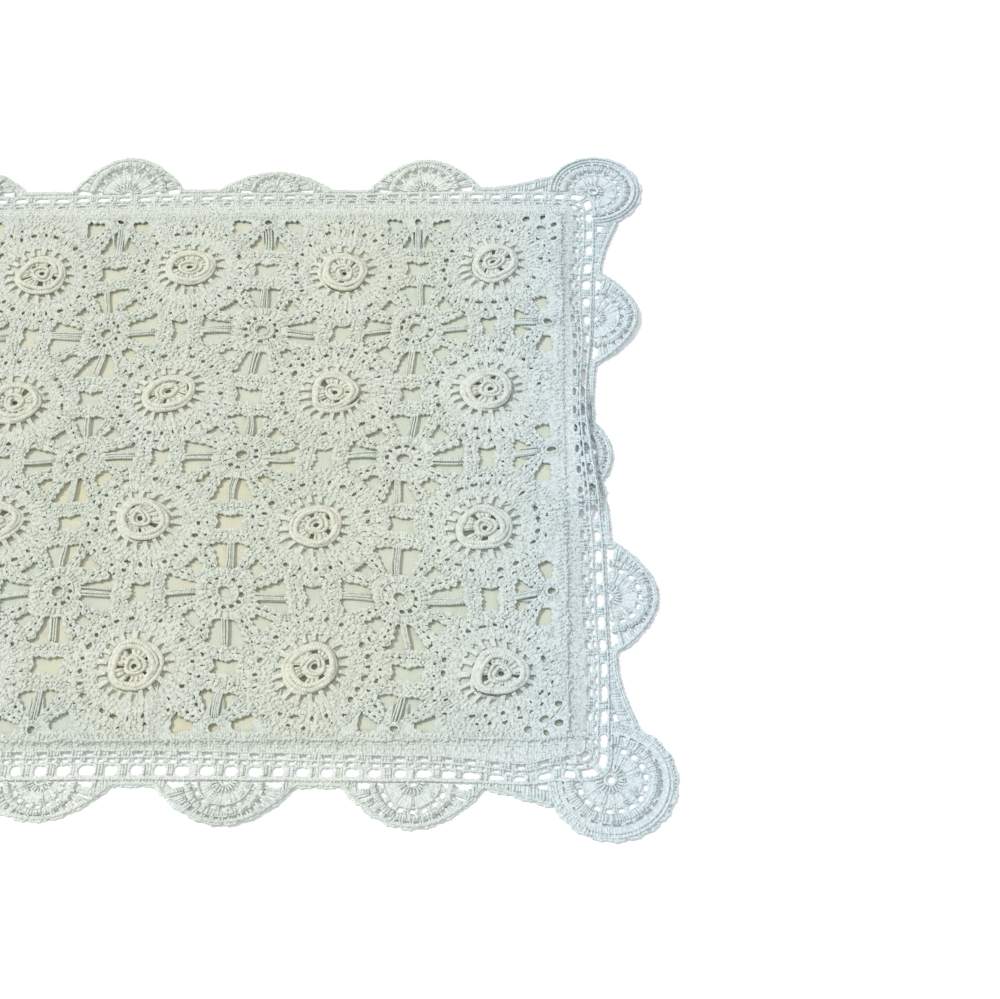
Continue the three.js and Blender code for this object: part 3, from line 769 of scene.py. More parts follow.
def wheel(yarns):
    """A wheel filler about its own middle: a ring, a round of small holes, a close round, four bars of
    four threads along the sides and eight spokes of close ground."""
    round_strip(yarns, 2.5, 5.3, 1.1)
    ring_chain(yarns, 2.9, 9, 1.3)
    radial(yarns, blocks(16, 1, 1), 3.3, 5.2, 1.1)
    block_strips(yarns, 5.1, 7.3, 12, 1.7, 0.26)
    ring_chain(yarns, 5.0, 15, 1.1)
    round_strip(yarns, 7.1, 11.5, 1.6, teeth=0.45)
    ring_chain(yarns, 7.6, 22, 1.1)
    radial(yarns, blocks(36, 1, 1) + yarns.random.normal(0, 0.03, 36), 7.8, 10.6, 1.25)
    for quarter in range(4):
        turn = quarter * np.pi / 2
        bar(yarns, turn + yarns.random.normal(0, 0.03), 10.4, 24.4)
        for degrees in (27.5, 62.5):
            spoke(yarns, turn + np.radians(degrees) + yarns.random.normal(0, 0.025), 10.3, 22.9,
                (3.4, yarns.random.uniform(6.2, 7.8)))
        angle = turn + np.radians(np.linspace(33, 57, 6))
        yarns.strip(polar(10.5, angle), polar(14.2, angle), teeth=0.45)
        stitches(yarns, polar(12.2, angle[1:-1], 0.32), turn)
    return yarns


def half_wheel(yarns):
    """A half wheel on the edge of the panel: x runs in from the edge and y along it, from the middle
    between two motifs.
    It has a ring, an inward bar, two wide spokes, and ground along the edge out to the motifs."""
    hub = xyz(3.9, 0)
    angle = np.linspace(0, TURN, 22, endpoint=False)
    yarns.strip(hub + polar(1.8, angle), hub + polar(4.1, angle, -0.1), closed=True)
    yarns.add(hub + polar(2.1, angle[::2], 0.25), 1.3, closed=True)
    yarns.add(spread(hub + polar(2.5, angle, 0.15), hub + polar(4.0, angle, 0.1), 2), 1.1)
    bar(yarns, 0.0, 7.6, 24.2)
    yarns.strip(xyz(-0.6, np.linspace(-2.4, 2.4, 5), -0.15), xyz(1.5, np.linspace(-2.4, 2.4, 5), -0.15))
    for sign in (-1, 1):
        y = sign * np.linspace(2.2, 23.6, 17)
        yarns.strip(xyz(-0.6, y), xyz(2.9 + 2.6 * ((np.abs(y) - 12.5) / 6.6) ** 4, y), teeth=0.45)
        y = sign * np.linspace(3.6, 6.8, 4)
        yarns.strip(xyz(2.7, y, -0.12), xyz(6.6, y, -0.12))
        for degrees in (36, 53):
            spoke_from = Yarns(sign + degrees + 2, yarns.thread, yarns.unevenness)
            spoke(spoke_from, sign * np.radians(degrees), 3.7, 19.0 if degrees < 40 else 16.8, (2.6, 5.0))
            yarns.bundles += spoke_from.moved(lambda points: points + hub).bundles
        x = np.linspace(2.4, 17.0, 10)
        inner = sign * (PITCH / 2 - np.sqrt(np.maximum(0, 27.4 ** 2 - (PANEL_MARGIN - x) ** 2)))
        yarns.strip(xyz(x, sign * np.minimum(14.8, np.abs(inner) - 0.8)), xyz(x, inner), teeth=0.45)
        tangle(yarns, xyz(1.3, sign * np.arange(3.4, 22, 1.7), 0.25), -1, 1)
        tangle(yarns, xyz(x[1:-1], (inner + sign * 16.6)[1:-1] / 2, 0.32), -1, 1)
    return yarns.toned(1.0)


def corner_filling(yarns):
    """The corner of the panel, beyond the round of the corner motif: x and y run in from the corner. Bands
    of ground lie about the motif's own middle out to the panel's edges, two of them with a few round
    openings."""
    def spot(radius, angle, height=0.0):
        return xyz(PANEL_MARGIN, PANEL_MARGIN) - polar(radius, np.pi / 4 + angle, -np.asarray(height))

    def bands(inner, outer, start, end):
        angle = np.radians(np.linspace(start, end, max(4, int((end - start) / 2.2))))
        limit = 30.9 / np.cos(np.pi / 4 - np.abs(angle))  # the edges of the panel
        angle, limit = angle[limit > inner + 0.4], limit[limit > inner + 0.4]
        if len(angle) > 2:
            far = np.minimum(outer, limit)
            yarns.strip(spot(inner, angle), spot(far, angle))
            tangle(yarns, spot((inner + far) / 2, angle, 0.22), 0, 3)

    # bands with openings: from, to, half of its arc in degrees, and at which angle and how wide each
    # opening is
    for inner, outer, arc, openings in (
            (29.2, 33.2, 23.0, ((-15.5, 2.6), (0.5, 4.2), (15.0, 3.0))),
            (34.7, 38.2, 12.0, ((-4.0, 3.2), (6.5, 2.2)))):
        t = np.linspace(0, 1, 7)
        radius = inner + (outer - inner) * t
        edges = [np.full(7, np.radians(-arc))]
        for at, width in openings:
            half = width / 2 * np.sin(np.pi * t) ** 0.6 / radius
            edges += [np.radians(at) - half, np.radians(at) + half]
        edges.append(-edges[0])
        for near, far in zip(edges[::2], edges[1::2]):
            yarns.strip(spot(radius, near), spot(radius, far), teeth=0.1)
            tangle(yarns, spot(radius[1::2], ((near + far) / 2)[1::2], 0.22), 0, 3)
        bands(inner, outer, -34.0, np.degrees(edges[0][0]) + 0.3)
        bands(inner, outer, np.degrees(edges[-1][0]) - 0.3, 34.0)
    for inner, outer in ((27.1, 29.4), (33.1, 34.9), (38.1, 41.0), (40.9, 46.0)):
        bands(inner, outer, -34.0, 34.0)
    return yarns.toned(1.0)


# ---------------------------------------------------------------- border

def even_spots(low, high, pitch):
    """Evenly spaced spots from low to high, about a pitch apart."""
    count = max(1, int(round((high - low) / pitch)))
    return low + (np.arange(count) + 0.5) * (high - low) / count


# The rows of the border, out from the panel. Rows of holes: (from, to, pitch of the blocks, share that is
# worked, threads to a block). Close rows: (from, to, height). Plain rows: (from, to). Ropes: (at, thickness
# in threads, height).
FILET = [(6.1, 8.8, 9.0, 0.52, 4), (9.2, 10.9, 4.5, 0.36, 2), (11.4, 15.0, 9.0, 0.33, 3)]
CLOSE_ROWS = [(-0.9, 2.3, 0.05), (2.3, 4.3, 0.0), (4.3, 6.2, 0.05)]
PLAIN_ROWS = [(8.7, 9.3), (10.8, 11.3), (14.9, 15.7)]
ROPES = [
    (0.0, 1.6, 0.3), (6.2, 1.0, 0.1), (9.0, 1.0, 0.1),
    (11.3, 1.0, 0.1), (15.3, 1.1, 0.12), (16.2, 1.2, 0.12),
]
FAN_RIM, CORNER_FAN_RIM = 16.4, 17.4  # where the raised round of a fan of even size ends


def edge_teeth(yarns, count):
    """How far the worked edge bulges at points EDGE_STEP apart: low rounds of some 8 mm with a notch
    between two, and a finer bite every 3 points."""
    spot = np.arange(count) * EDGE_STEP + 1.2 * np.sin(np.arange(count) / 11)
    rounds = 1.15 * np.sqrt(np.abs(np.sin(np.pi * spot / 8.0))) - 0.75
    return (rounds + 0.22 * np.cos(np.arange(count) * TURN / 3)) * yarns.random.uniform(0.8, 1.15, count)


def outline(side, low, high, inset, step=1.0):
    """The edge of a side between two spots, moved in by an inset square to the edge. inset may be one
    number for each spot."""
    along = np.arange(low, high, step)
    reach, _ = edge(side, along)
    slope = np.gradient(reach, along)
    size = np.sqrt(1 + slope ** 2)
    return xyz(along + inset * slope / size, BORDER + reach - inset / size)


def fan_work(yarns, fan, half, size, rounds, rim):
    """The rounds of a fan: fan gives the point at a distance, an angle and a height, half is half its
    opening, size its scale and rim where its raised round ends.
    A ring, narrow blocks with slits, close ribs, blocks with holes, a raised round of close ribs, and its
    rope."""
    def arc(distance, count, height):
        return fan(distance * size, np.linspace(-half, half, count), height)

    def rope(distance, thick, height=0.2):
        yarns.rope(arc(distance, max(8, int(2 * half * distance * size / 1.2)), height), thick)

    def ground(inner, outer, height=0.0):
        count = max(8, int(2 * half * outer * size / 1.5))
        yarns.strip(arc(inner, count, height), arc(outer, count, height), teeth=0.06, high=0.3)

    def ribs(inner, outer, pitch, thick, height=-0.08, bow=0.15, steps=2):
        angle = even_spots(-half, half, pitch / outer / size)
        angle = angle + yarns.random.normal(0, 0.006, len(angle))
        starts, ends = fan(inner * size, angle, height), fan(outer * size, angle, height)
        yarns.add(spread(starts, ends, steps, bow), thick)

    def holed(inner, outer, count, gap):
        step = 2 * half / count
        distance, bulge = hole(inner, outer)
        middle = (-half + (np.arange(count) + 0.5) * step)[:, None]
        width = step / 2 - gap * bulge / 2 / distance
        yarns.strip(fan(distance * size, middle - width), fan(distance * size, middle + width),
            teeth=0.03, high=0.3)
        starts, ends = fan(inner * size, middle[:, 0], 0.15), fan(outer * size, middle[:, 0], 0.15)
        yarns.add(spread(starts, ends, 2), 1.1)

    ground(1.7, 2.8)
    rope(2.3, 1.2)
    holed(2.7, 5.6, rounds[0], 0.9)
    ground(5.5, 10.9)
    ribs(5.7, 10.8, 1.12, 1.2)
    rope(10.9, 1.1, 0.15)
    holed(10.8, 13.8, rounds[1], 2.9)
    ground(13.6, rim, 0.55)
    ribs(13.7, rim - 0.1, 1.1, 1.35, 0.5, bow=0.5, steps=3)
    rope(13.9, 1.1, 0.3)


def scallop(yarns, side, hub, depth):
    """A scallop's fan about its hub on the base line, and the bars from it out to the edge rows."""
    size = depth / SCALLOP_DEPTH

    def fan(distance, angle, height=0.0):
        """Angles from straight out, in the side's plane."""
        return xyz(hub + distance * np.sin(angle), BORDER + 0.3 + distance * np.cos(angle), height)

    fan_work(yarns, fan, 1.5, size, (10, 8), FAN_RIM)
    pairs, widest = 13, 1.44  # of bars, and the angle out to which they stand
    angle = (np.arange(pairs)[:, None] + 0.5 + np.array([-0.14, 0.14])) / pairs * (2 * widest) - widest
    angle = angle.ravel()
    distance = np.linspace(14, 34, 200)[:, None] * size
    reach, _ = edge(side, hub + distance * np.sin(angle))
    inside = distance * np.cos(angle) + 0.4 < reach - 1.5
    far = np.max(np.where(inside, distance, 17.6 * size), 0)
    yarns.add(spread(fan(16.2 * size, angle, 0.3), fan(far, angle, 0.2), 3), 1.25)
    # ground beside the fan, out to the edge rows, with a slit from pair to pair
    middle, far = angle.reshape(pairs, 2).mean(1)[:, None], far.reshape(pairs, 2).min(1)[:, None]
    flank = np.abs(middle[:, 0]) > 0.75
    middle, far = middle[flank], far[flank]
    start = 17.0 * size
    distance = start + (far - start) * np.linspace(0, 1, 4)
    half_cell = 0.111  # an angle; the slits are some 0.9 mm wide
    width = half_cell - 0.45 / distance * yarns.random.uniform(0.6, 1.5, (len(middle), 1))
    yarns.strip(fan(distance, middle - width, 0.05), fan(distance, middle + width, 0.05), high=0.3)


def side_yarns(yarns, side):
    """A side of the border in its own plane (along, out, height): close rows, three rows of holes, the base
    line, a fan for each scallop, and the edge rows with their teeth."""
    half = SIDE_HALF[side] - SEAM
    line = np.linspace(-half, half, int(half / 1.1))
    for number, (low, high, height) in enumerate(CLOSE_ROWS):
        tone = 1.0 - 0.25 * number
        yarns.strip(xyz(line, low, height), xyz(line, high, height), teeth=0.1, high=0.3, tone=tone)
        for out in ((low + high) / 2 - 0.6, (low + high) / 2 + 0.6):
            along = even_spots(-half, half, 2.8)
            along = along + yarns.random.normal(0, 0.5, len(along))
            stitches(yarns, xyz(along, max(out, 0.6), height + 0.02), np.pi / 2, length=1.9, tone=tone)
    for low, high in PLAIN_ROWS:
        yarns.strip(xyz(line, low), xyz(line, high), teeth=0.05, high=0.24)
    for out, thick, height in ROPES:
        along = np.arange(-half, half, 1.3)
        wander = 0.1 * np.sin(along / 4.1)
        if out < 1:
            wander = 0.45 * np.sin(along / 5.3 + 2 * np.sin(along / 17)) + 0.3 * np.sin(along / 2.9)
        yarns.rope(xyz(along, out + wander, height), thick, tone=1.0 if out < 3 else 0.0)
    along = even_spots(-half, half, 2.1)  # stitches that close the seam with the panel
    stitches(yarns, xyz(along, yarns.random.uniform(-0.7, 0.9, len(along)), 0.42), np.pi / 2,
        length=2.3, thick=1.5, tone=1.0)
    for low, high, pitch, share, threads in FILET:
        pitch = pitch * SIDE_STRETCH[side]
        count = int(round(2 * half / pitch))
        middle = (np.arange(count) + 0.5) * 2 * half / count - half
        middle = middle + yarns.random.normal(0, 0.25, count)
        t = np.linspace(0, 1, 4)
        open_half = (1 - share) * pitch / 2 * yarns.random.uniform(0.7, 1.12, (count, 1))
        width = pitch / 2 - open_half * (0.5 + 0.5 * np.sin(np.pi * t))
        out = low + (high - low) * t
        yarns.strip(xyz(middle[:, None] - width, out), xyz(middle[:, None] + width, out), teeth=0.04,
            high=0.25)
        inside = centred(threads) / threads * share * pitch
        along = (middle[:, None] + inside).ravel()
        rows_between(yarns, xyz(along, low, 0.08), xyz(along, high, 0.08), 1.15)
    along = even_spots(-half, half, 4.6)
    along = along[:, None]
    yarns.strip(xyz(along - 1.9, BASE_ROW), xyz(along + 1.9, BASE_ROW), teeth=0.0, high=0.3)

    low, high = -fan_end(side, 0), fan_end(side, 1)
    fans = hubs(side)
    for hub, depth, _ in fans:
        scallop(yarns, side, hub, depth)
    # the edge rows: ground with teeth, and two chains on it
    inner = outline(side, low, high, 2.3, EDGE_STEP)
    teeth = edge_teeth(yarns, len(inner))
    yarns.strip(inner + [0, 0, 0.3], outline(side, low, high, 0.4 - teeth, EDGE_STEP), teeth=0.0, high=0.28)
    for inset, thick in ((1.9, 1.1), (1.1, 1.0)):
        yarns.rope(outline(side, low, high, inset) + [0, 0, 0.45], thick)
    # close stitches in the valleys, where there is no fan
    along = even_spots(low, high, 1.25)
    reach, _ = edge(side, along)
    clear = np.min([np.abs(along - hub) / depth * SCALLOP_DEPTH for hub, depth, _ in fans], 0)
    start = np.maximum(0.0, reach - 6.4)
    keep = (clear > 21.5) & (reach - 2.2 > start)  # clear of every fan, and room below the edge rows
    spots, start, end = along[keep], start[keep], reach[keep] - 2.1
    out = np.linspace(0, 1, 3)
    out = BORDER + start[:, None] + (end - start)[:, None] * out
    yarns.strip(xyz(spots[:, None] - 0.66, out), xyz(spots[:, None] + 0.66, out), teeth=0.0, high=0.28)
    rows_between(yarns, xyz(spots, BORDER + start, 0.18), xyz(spots, BORDER + end, 0.18), 1.15)
    held = (start > 1.2) & (np.arange(len(spots)) % 5 < 2)
    rows_between(yarns, xyz(spots, BORDER, 0.0)[held], xyz(spots, BORDER + start, 0.0)[held], 1.3)
    return yarns


def half_wheels(yarns, side):
    """The half wheels that lean in from a side between two motifs, laid on the panel."""
    made = []
    count = SIDE_MOTIFS[side]
    for k in range(1, count):
        part = half_wheel(Yarns([SIDE_SEEDS[side], k], yarns.thread, yarns.unevenness))
        along = (k - count / 2) * PITCH

        def place(points, along=along):
            inward, beside = points[..., 0], points[..., 1]
            if side == "right":
                inward = inward + 2.4 * smooth(inward / 3) * (1 - smooth((inward - 5) / 16))
            return lay(beside_panel(side, along + beside, -inward, LACE_MIDDLE + points[..., 2]))
        made += part.moved(place).bundles
    return made


def corner_yarns(yarns, name):
    """A corner in its own plane, from the panel's corner: the border's rows turned through the corner on
    rounded squares, and a fan of three quarters of a circle about the outer corner."""
    radius = FAN_RADIUS[name]
    size = radius / CORNER_RADIUS

    def row(out, angle, height=0.0):
        """A point of the row at a distance out: a rounded square |u|4 + |v|4 = out4."""
        return xyz(out * np.sqrt(np.abs(np.cos(angle))), out * np.sqrt(np.abs(np.sin(angle))), height)

    def row_spots(out, pitch):
        """The step of even blocks about a pitch long on a row, and the angles of their middles and ends."""
        fine = np.linspace(0, np.pi / 2, 400)
        line = row(out, fine)
        gone = np.concatenate([[0], np.cumsum(np.linalg.norm(np.diff(line, axis=0), axis=1))])
        count = max(2, int(round(gone[-1] / pitch)))
        middles = np.interp((np.arange(count) + 0.5) * gone[-1] / count, gone, fine)
        edges = np.interp(np.linspace(0, gone[-1], count + 1), gone, fine)
        return gone[-1] / count, middles, edges

    for number, (low, high, height) in enumerate(CLOSE_ROWS):
        low, tone = max(low, 0.02), 1.0 - 0.25 * number
        _, angle, edges = row_spots(high, 1.25)
        yarns.strip(row(low, edges, height), row(high, edges, height), teeth=0.05, high=0.34, tone=tone)
        spots = row((low + high) / 2, angle[::2], height + 0.02)
        stitches(yarns, spots, angle[::2], length=1.9, tone=tone)
    for low, high in PLAIN_ROWS:
        _, _, edges = row_spots(high, 1.5)
        yarns.strip(row(low, edges), row(high, edges), teeth=0.05, high=0.3)
    for out, thick, height in ROPES:
        if out > 1:
            _, _, edges = row_spots(out, 1.05)
            yarns.rope(row(out, edges, height), thick)
    for low, high, pitch, share, _ in FILET:
        step, angle, _ = row_spots(high, pitch)
        # the angle for a step along the row, taken at each block
        fine = 1e-3
        rate = np.linalg.norm(row(high, angle + fine) - row(high, angle - fine), axis=-1) / (2 * fine)
        width = (share * step / 2 / rate)[:, None] * (1.25 - 0.4 * np.sin(np.pi * np.linspace(0, 1, 4)))
        out = low + (high - low) * np.linspace(0, 1, 4)
        lower, upper = np.clip([angle[:, None] - width, angle[:, None] + width], 0, np.pi / 2)
        yarns.strip(row(out, lower), row(out, upper), teeth=0.03, high=0.3)
        rows_between(yarns, row(low, angle, 0.2), row(high, angle, 0.2), 1.15)

    limit = 3 * np.pi / 4  # half of the fan's opening

    def fan(distance, angle, height=0.0):
        """Angles from the outward diagonal. The inner rounds lie about a hub a little in from the outer
        corner."""
        distance, angle, height = np.broadcast_arrays(distance, angle, height)
        hub = BORDER - 0.6 * np.clip(1 - distance / radius, 0, 1)
        turn = np.pi / 4 + angle
        return xyz(hub + distance * np.cos(turn), hub + distance * np.sin(turn), height)

    fan_work(yarns, fan, limit, size, (15, 13), CORNER_FAN_RIM)
    # the ring round the hub is whole
    angle = np.linspace(0, TURN, 14, endpoint=False)
    yarns.add(fan(2.2, angle, 0.3), 1.5, closed=True)
    count = 20
    step = 2 * limit / count
    t = np.linspace(0, 1, 4)
    distance = 17.2 * size + 1.2 * t
    middle = (-limit + (np.arange(count) + 0.5) * step)[:, None]
    gap = 3.6 * yarns.random.uniform(0.7, 1.1, (count, 1)) * (0.6 + 0.4 * np.sin(np.pi * t))
    width = step / 2 - gap / 2 / distance
    yarns.strip(
        fan(distance, middle - width, 0.5), fan(distance, middle + width, 0.5), teeth=0.03, high=0.35)
    count = int(2 * limit * radius / EDGE_STEP)
    angle = np.linspace(-limit, limit, count)
    teeth = edge_teeth(yarns, count)
    yarns.strip(fan(17.3 * size + 1.0, angle, 0.5), fan(radius - 0.6 + teeth, angle, 0.2), teeth=0.0,
        high=0.28)
    for inset, thick, height in ((3.6, 1.3, 0.7), (1.9, 1.1, 0.55)):
        angle = np.linspace(-limit, limit, int(2 * limit * (radius - inset)))
        yarns.rope(fan(radius - inset, angle, height), thick)
    ribs = even_spots(-limit, limit, 1.5 / radius)
    yarns.add(spread(fan(radius - 3.3, ribs, 0.35), fan(radius - 0.9, ribs, 0.1), 2), 1.25)
    return yarns


# ---------------------------------------------------------------- cloths

def cloth_sheet(name, low, thickness, rumple, steps):
    """A closed thin sheet as large as the panel: height = low + thickness + rumple x the sum of three
    crossed sines, over a flat copy one thickness below, with a wall round the rim."""
    across, back = np.meshgrid(np.linspace(-1, 1, steps[0]), np.linspace(-1, 1, steps[1]), indexing="ij")
    x, y = across * (HALF_LENGTH - GAP), back * (HALF_WIDTH - GAP)
    wave = (np.sin(x / 13 + 0.9 * np.sin(y / 21)) * np.cos(y / 17 + 0.7 * np.sin(x / 29))
            + 0.6 * np.sin(x / 7.3 + y / 11) + 0.5 * np.sin(y / 6.1 - x / 17 + 1.3)) / 2.1
    calm = smooth((1 - np.maximum(np.abs(across), np.abs(back))) / 0.06)
    top = lay(np.stack([x, y, low + rumple + thickness + rumple * wave * calm], -1))
    under = top - [0, 0, thickness]
    points = np.concatenate([top.reshape(-1, 3), under.reshape(-1, 3)])
    n, m = steps
    index = np.arange(n * m).reshape(n, m)
    a, b, c, d = index[:-1, :-1], index[1:, :-1], index[1:, 1:], index[:-1, 1:]
    upper = np.stack([a, b, c, d], -1).reshape(-1, 4)
    lower = np.stack([a, d, c, b], -1).reshape(-1, 4) + n * m
    rim = np.concatenate([index[:-1, 0], index[-1, :-1], index[:0:-1, -1], index[0, :0:-1]])
    after = np.roll(rim, -1)
    wall = np.stack([rim, rim + n * m, after + n * m, after], -1)
    return mesh_object(name, points, np.concatenate([upper, lower, wall]))


# ---------------------------------------------------------------- materials

def add(tree, kind, settings=None, **links):
    """Adds the shader node of a kind. Settings name its properties or its inputs, and links give an input a
    node's first output or one socket."""
    node = tree.nodes.new("ShaderNode" + kind)
    for key, value in (settings or {}).items():
        if isinstance(key, str) and hasattr(node, key):
            setattr(node, key, value)
        else:
            node.inputs[key].default_value = value
    for key, source in links.items():
        target = node.inputs[int(key[1:]) if key[0] == "i" and key[1:].isdigit() else key.replace("_", " ")]
        tree.links.new(source if isinstance(source, bpy.types.NodeSocket) else source.outputs[0], target)
    return node


def new_material(name, settings):
    """A material with a Principled shader, whose plain numbers are set on its own sockets."""
    material = bpy.data.materials.new(name)
    material.use_nodes = True
    tree = material.node_tree
    tree.nodes.clear()
    shader = add(tree, "BsdfPrincipled", settings)
    add(tree, "OutputMaterial", Surface=shader)
    return material, tree, shader


def crochet_cotton(name, ground, raised, shade):
    """Mercerised crochet cotton worked close: matt, with a slight sheen. Posts lie side by side 1.1 mm
    apart along every strip and ply by ply along every thread, and knots some 1.3 mm apart stand over them,
    with painted shade darkening the colour in between.
    The whole is a little unevenly bleached, in clouds of some 60 mm and flecks of some 6 mm, and a blue
    tint grows towards the right end, partly an uneven tint of the white and partly painted cool light."""
    material, tree, shader = new_material(name, {
        "Roughness": 0.85, "IOR": 1.46, "Sheen Weight": 0.1, "Sheen Roughness": 0.5})
    place = add(tree, "TexCoord").outputs["Object"]
    clouds = add(tree, "TexNoise", {"Scale": 16.0, "Detail": 2.0}, Vector=place)
    flecks = add(tree, "TexNoise", {"Scale": 170.0, "Detail": 2.0}, Vector=place)
    fuzz = add(tree, "TexNoise", {"Scale": 1300.0, "Detail": 2.0}, Vector=place)
    knots = add(tree, "TexVoronoi", {"feature": "SMOOTH_F1", "Scale": 780.0, "Smoothness": 0.5},
        Vector=place)
    tone = add(tree, "Attribute", {"attribute_name": "tone"})
    body = add(tree, "Mix", {"data_type": "RGBA", 6: ground, 7: raised}, i0=tone.outputs["Fac"])
    apart = add(tree, "SeparateXYZ", Vector=place)
    # over the tone: clouds, flecks, and a blue tint towards the right end that is partly painted cool
    # light, each where its value is high
    for value, low, high, most, tint in (
            (clouds, 0.35, 0.75, 0.5, shade), (flecks, 0.4, 0.8, 0.3, shade),
            (apart.outputs["X"], 0.12, 0.23, 0.8, linear(BLUE_TINT_AND_COOL_LIGHT))):
        share = add(tree, "MapRange", {
            "From Min": low, "From Max": high, "To Max": most,
            "interpolation_type": "SMOOTHSTEP" if most == 0.8 else "LINEAR"}, Value=value)
        body = add(tree, "Mix", {"data_type": "RGBA", 7: tint}, i0=share, i6=body.outputs[2])
    # painted shade: the colour is made darker between the knots, where shade falls between the stitches
    painted_shade_between_knots = add(tree, "MapRange", {
        "From Min": 0.35, "From Max": 0.75, "To Min": 1.0, "To Max": 0.82}, Value=knots)
    body = add(tree, "Mix", {"data_type": "RGBA", "blend_type": "MULTIPLY", 0: 1.0},
        i6=body.outputs[2], i7=painted_shade_between_knots)
    tree.links.new(body.outputs[2], shader.inputs["Base Color"])
    along = add(tree, "UVMap", {"uv_map": "yarn"})
    posts = add(tree, "TexWave", {
        "Scale": 0.285, "Distortion": 1.6, "Detail": 1.0, "Detail Scale": 2.0}, Vector=along)
    relief = add(tree, "Math", {"operation": "MULTIPLY_ADD", 1: -1.3}, i0=knots, i2=posts)
    relief = add(tree, "Math", {"operation": "MULTIPLY_ADD", 1: 0.7}, i0=fuzz, i2=relief)
    relief = add(tree, "Bump", {"Strength": 0.6, "Distance": 0.00024}, Height=relief)
    tree.links.new(relief.outputs[0], shader.inputs["Normal"])
    return material


def plain_cotton(name, light, dark):
    """Plain-weave cotton lining: matt, threads 0.55 mm apart, drawn a little coarse so that the weave
    shows, with soft creases some 12 mm apart and patches of some 50 mm that have yellowed, less towards the
    right end."""
    material, tree, shader = new_material(name, {"Roughness": 0.9, "IOR": 1.46, "Sheen Weight": 0.08})
    place = add(tree, "TexCoord").outputs["Object"]
    patches = add(tree, "TexNoise", {"Scale": 20.0, "Detail": 3.0}, Vector=place)
    faded = add(tree, "MapRange", {"From Min": 0.4, "From Max": 0.68}, Value=patches)
    apart = add(tree, "SeparateXYZ", Vector=place)
    less = add(tree, "MapRange", {"From Min": 0.03, "From Max": 0.13, "To Min": 1.0, "To Max": 0.25},
        Value=apart.outputs["X"])
    faded = add(tree, "Math", {"operation": "MULTIPLY"}, i0=faded, i1=less)
    body = add(tree, "Mix", {"data_type": "RGBA", 6: light, 7: dark}, i0=faded)
    tree.links.new(body.outputs[2], shader.inputs["Base Color"])
    warp = add(tree, "TexWave", {"bands_direction": "X", "Scale": 290.0}, Vector=place)
    weft = add(tree, "TexWave", {"bands_direction": "Y", "Scale": 290.0}, Vector=place)
    weave = add(tree, "Math", {"operation": "MULTIPLY"}, i0=warp, i1=weft)
    folds = add(tree, "TexNoise", {"Scale": 85.0, "Detail": 1.0, "Distortion": 0.6}, Vector=place)
    soft = add(tree, "Bump", {"Strength": 0.8, "Distance": 0.0022}, Height=folds)
    relief = add(tree, "Bump", {"Strength": 0.25, "Distance": 0.0002}, Height=weave, Normal=soft)
    tree.links.new(relief.outputs[0], shader.inputs["Normal"])
    return material


def material_of(context, piece):
    """The material of the lace, the border, the lining or the backing, made the first time."""
    yarn, cloth = context.scene.sham_yarn, context.scene.sham_cloth
    name, maker, *colours = {
        "lace": ("Crochet cotton, lace", crochet_cotton, (*yarn.lace, 1), (*yarn.rose, 1),
            linear(LACE_SHADE)),
        "border": ("Crochet cotton, border", crochet_cotton, (*yarn.border, 1), (*yarn.lace, 1),
            linear(BORDER_SHADE)),
        "lining": ("Plain-weave cotton, lining", plain_cotton, (*cloth.lining, 1), (*cloth.yellowed, 1)),
        "backing": ("Plain-weave cotton, backing", plain_cotton, linear(BACKING), linear(BACKING_PATCHES)),
    }[piece]
    return bpy.data.materials.get(name) or maker(name, *colours)


# ---------------------------------------------------------------- operators

def new_yarns(context, seed):
    """Yarns with the thickness and unevenness of the settings."""
    settings = context.scene.sham_yarn
    return Yarns(seed, settings.thread / MM, settings.unevenness / MM)


class SHAM_OT_cloths(bpy.types.Operator):
    """Lay the two plain cloths: the back, and the one that shows through the lace"""
    bl_idname = "sham.cloths"
    bl_label = "Cloths"

    def execute(self, context):
        settings = context.scene.sham_cloth
        thickness = settings.thickness / MM
        back = cloth_sheet("backing", 0.02, thickness, 0.05, (40, 28))
        finish_piece(back, material_of(context, "backing"), ["back_cloth"])
        front = cloth_sheet("lining", FRONT_CLOTH_Z + 0.1, thickness, settings.rumple / MM, (76, 50))
        finish_piece(front, material_of(context, "lining"), ["front_cloth"])
        return {"FINISHED"}


def lace_piece(context, name, node, yarns, middle):
    """Lays the yarns of a piece of the lace front about its middle, and makes the piece."""
    yarns.moved(lambda points: lay(points + (*middle, LACE_MIDDLE)))
    crochet(name, yarns, material_of(context, "lace"), node)


class SHAM_OT_motifs(bpy.types.Operator):
    """Work the rose motifs of the lace front, each one a little different"""
    bl_idname = "sham.motifs"
    bl_label = "Rose motifs"

    def execute(self, context):
        height = context.scene.sham_yarn.rose_height / MM
        for row, column in np.ndindex(ROWS, COLUMNS):
            outermost = (column == COLUMNS - 1, row == 0, column == 0, row == ROWS - 1)
            reach = [PANEL_MARGIN - SEAM if last else PITCH / 2 for last in outermost]
            yarns = motif(new_yarns(context, [1, row, column]), reach, height)
            place = f"{row + 1}_{column + 1}"
            lace_piece(
                context, f"motif_{place}", f"rose_motif_{place}", yarns,
                rose_middle(row, column))
        return {"FINISHED"}


class SHAM_OT_wheels(bpy.types.Operator):
    """Work the wheel fillers between the motifs"""
    bl_idname = "sham.wheels"
    bl_label = "Wheel fillers"

    def execute(self, context):
        for row, column in np.ndindex(ROWS - 1, COLUMNS - 1):
            yarns = wheel(new_yarns(context, [2, row, column]))
            place = f"{row + 1}_{column + 1}"
            lace_piece(
                context, f"filler_{place}", f"wheel_{place}", yarns,
                rose_middle(row + 0.5, column + 0.5))
        return {"FINISHED"}


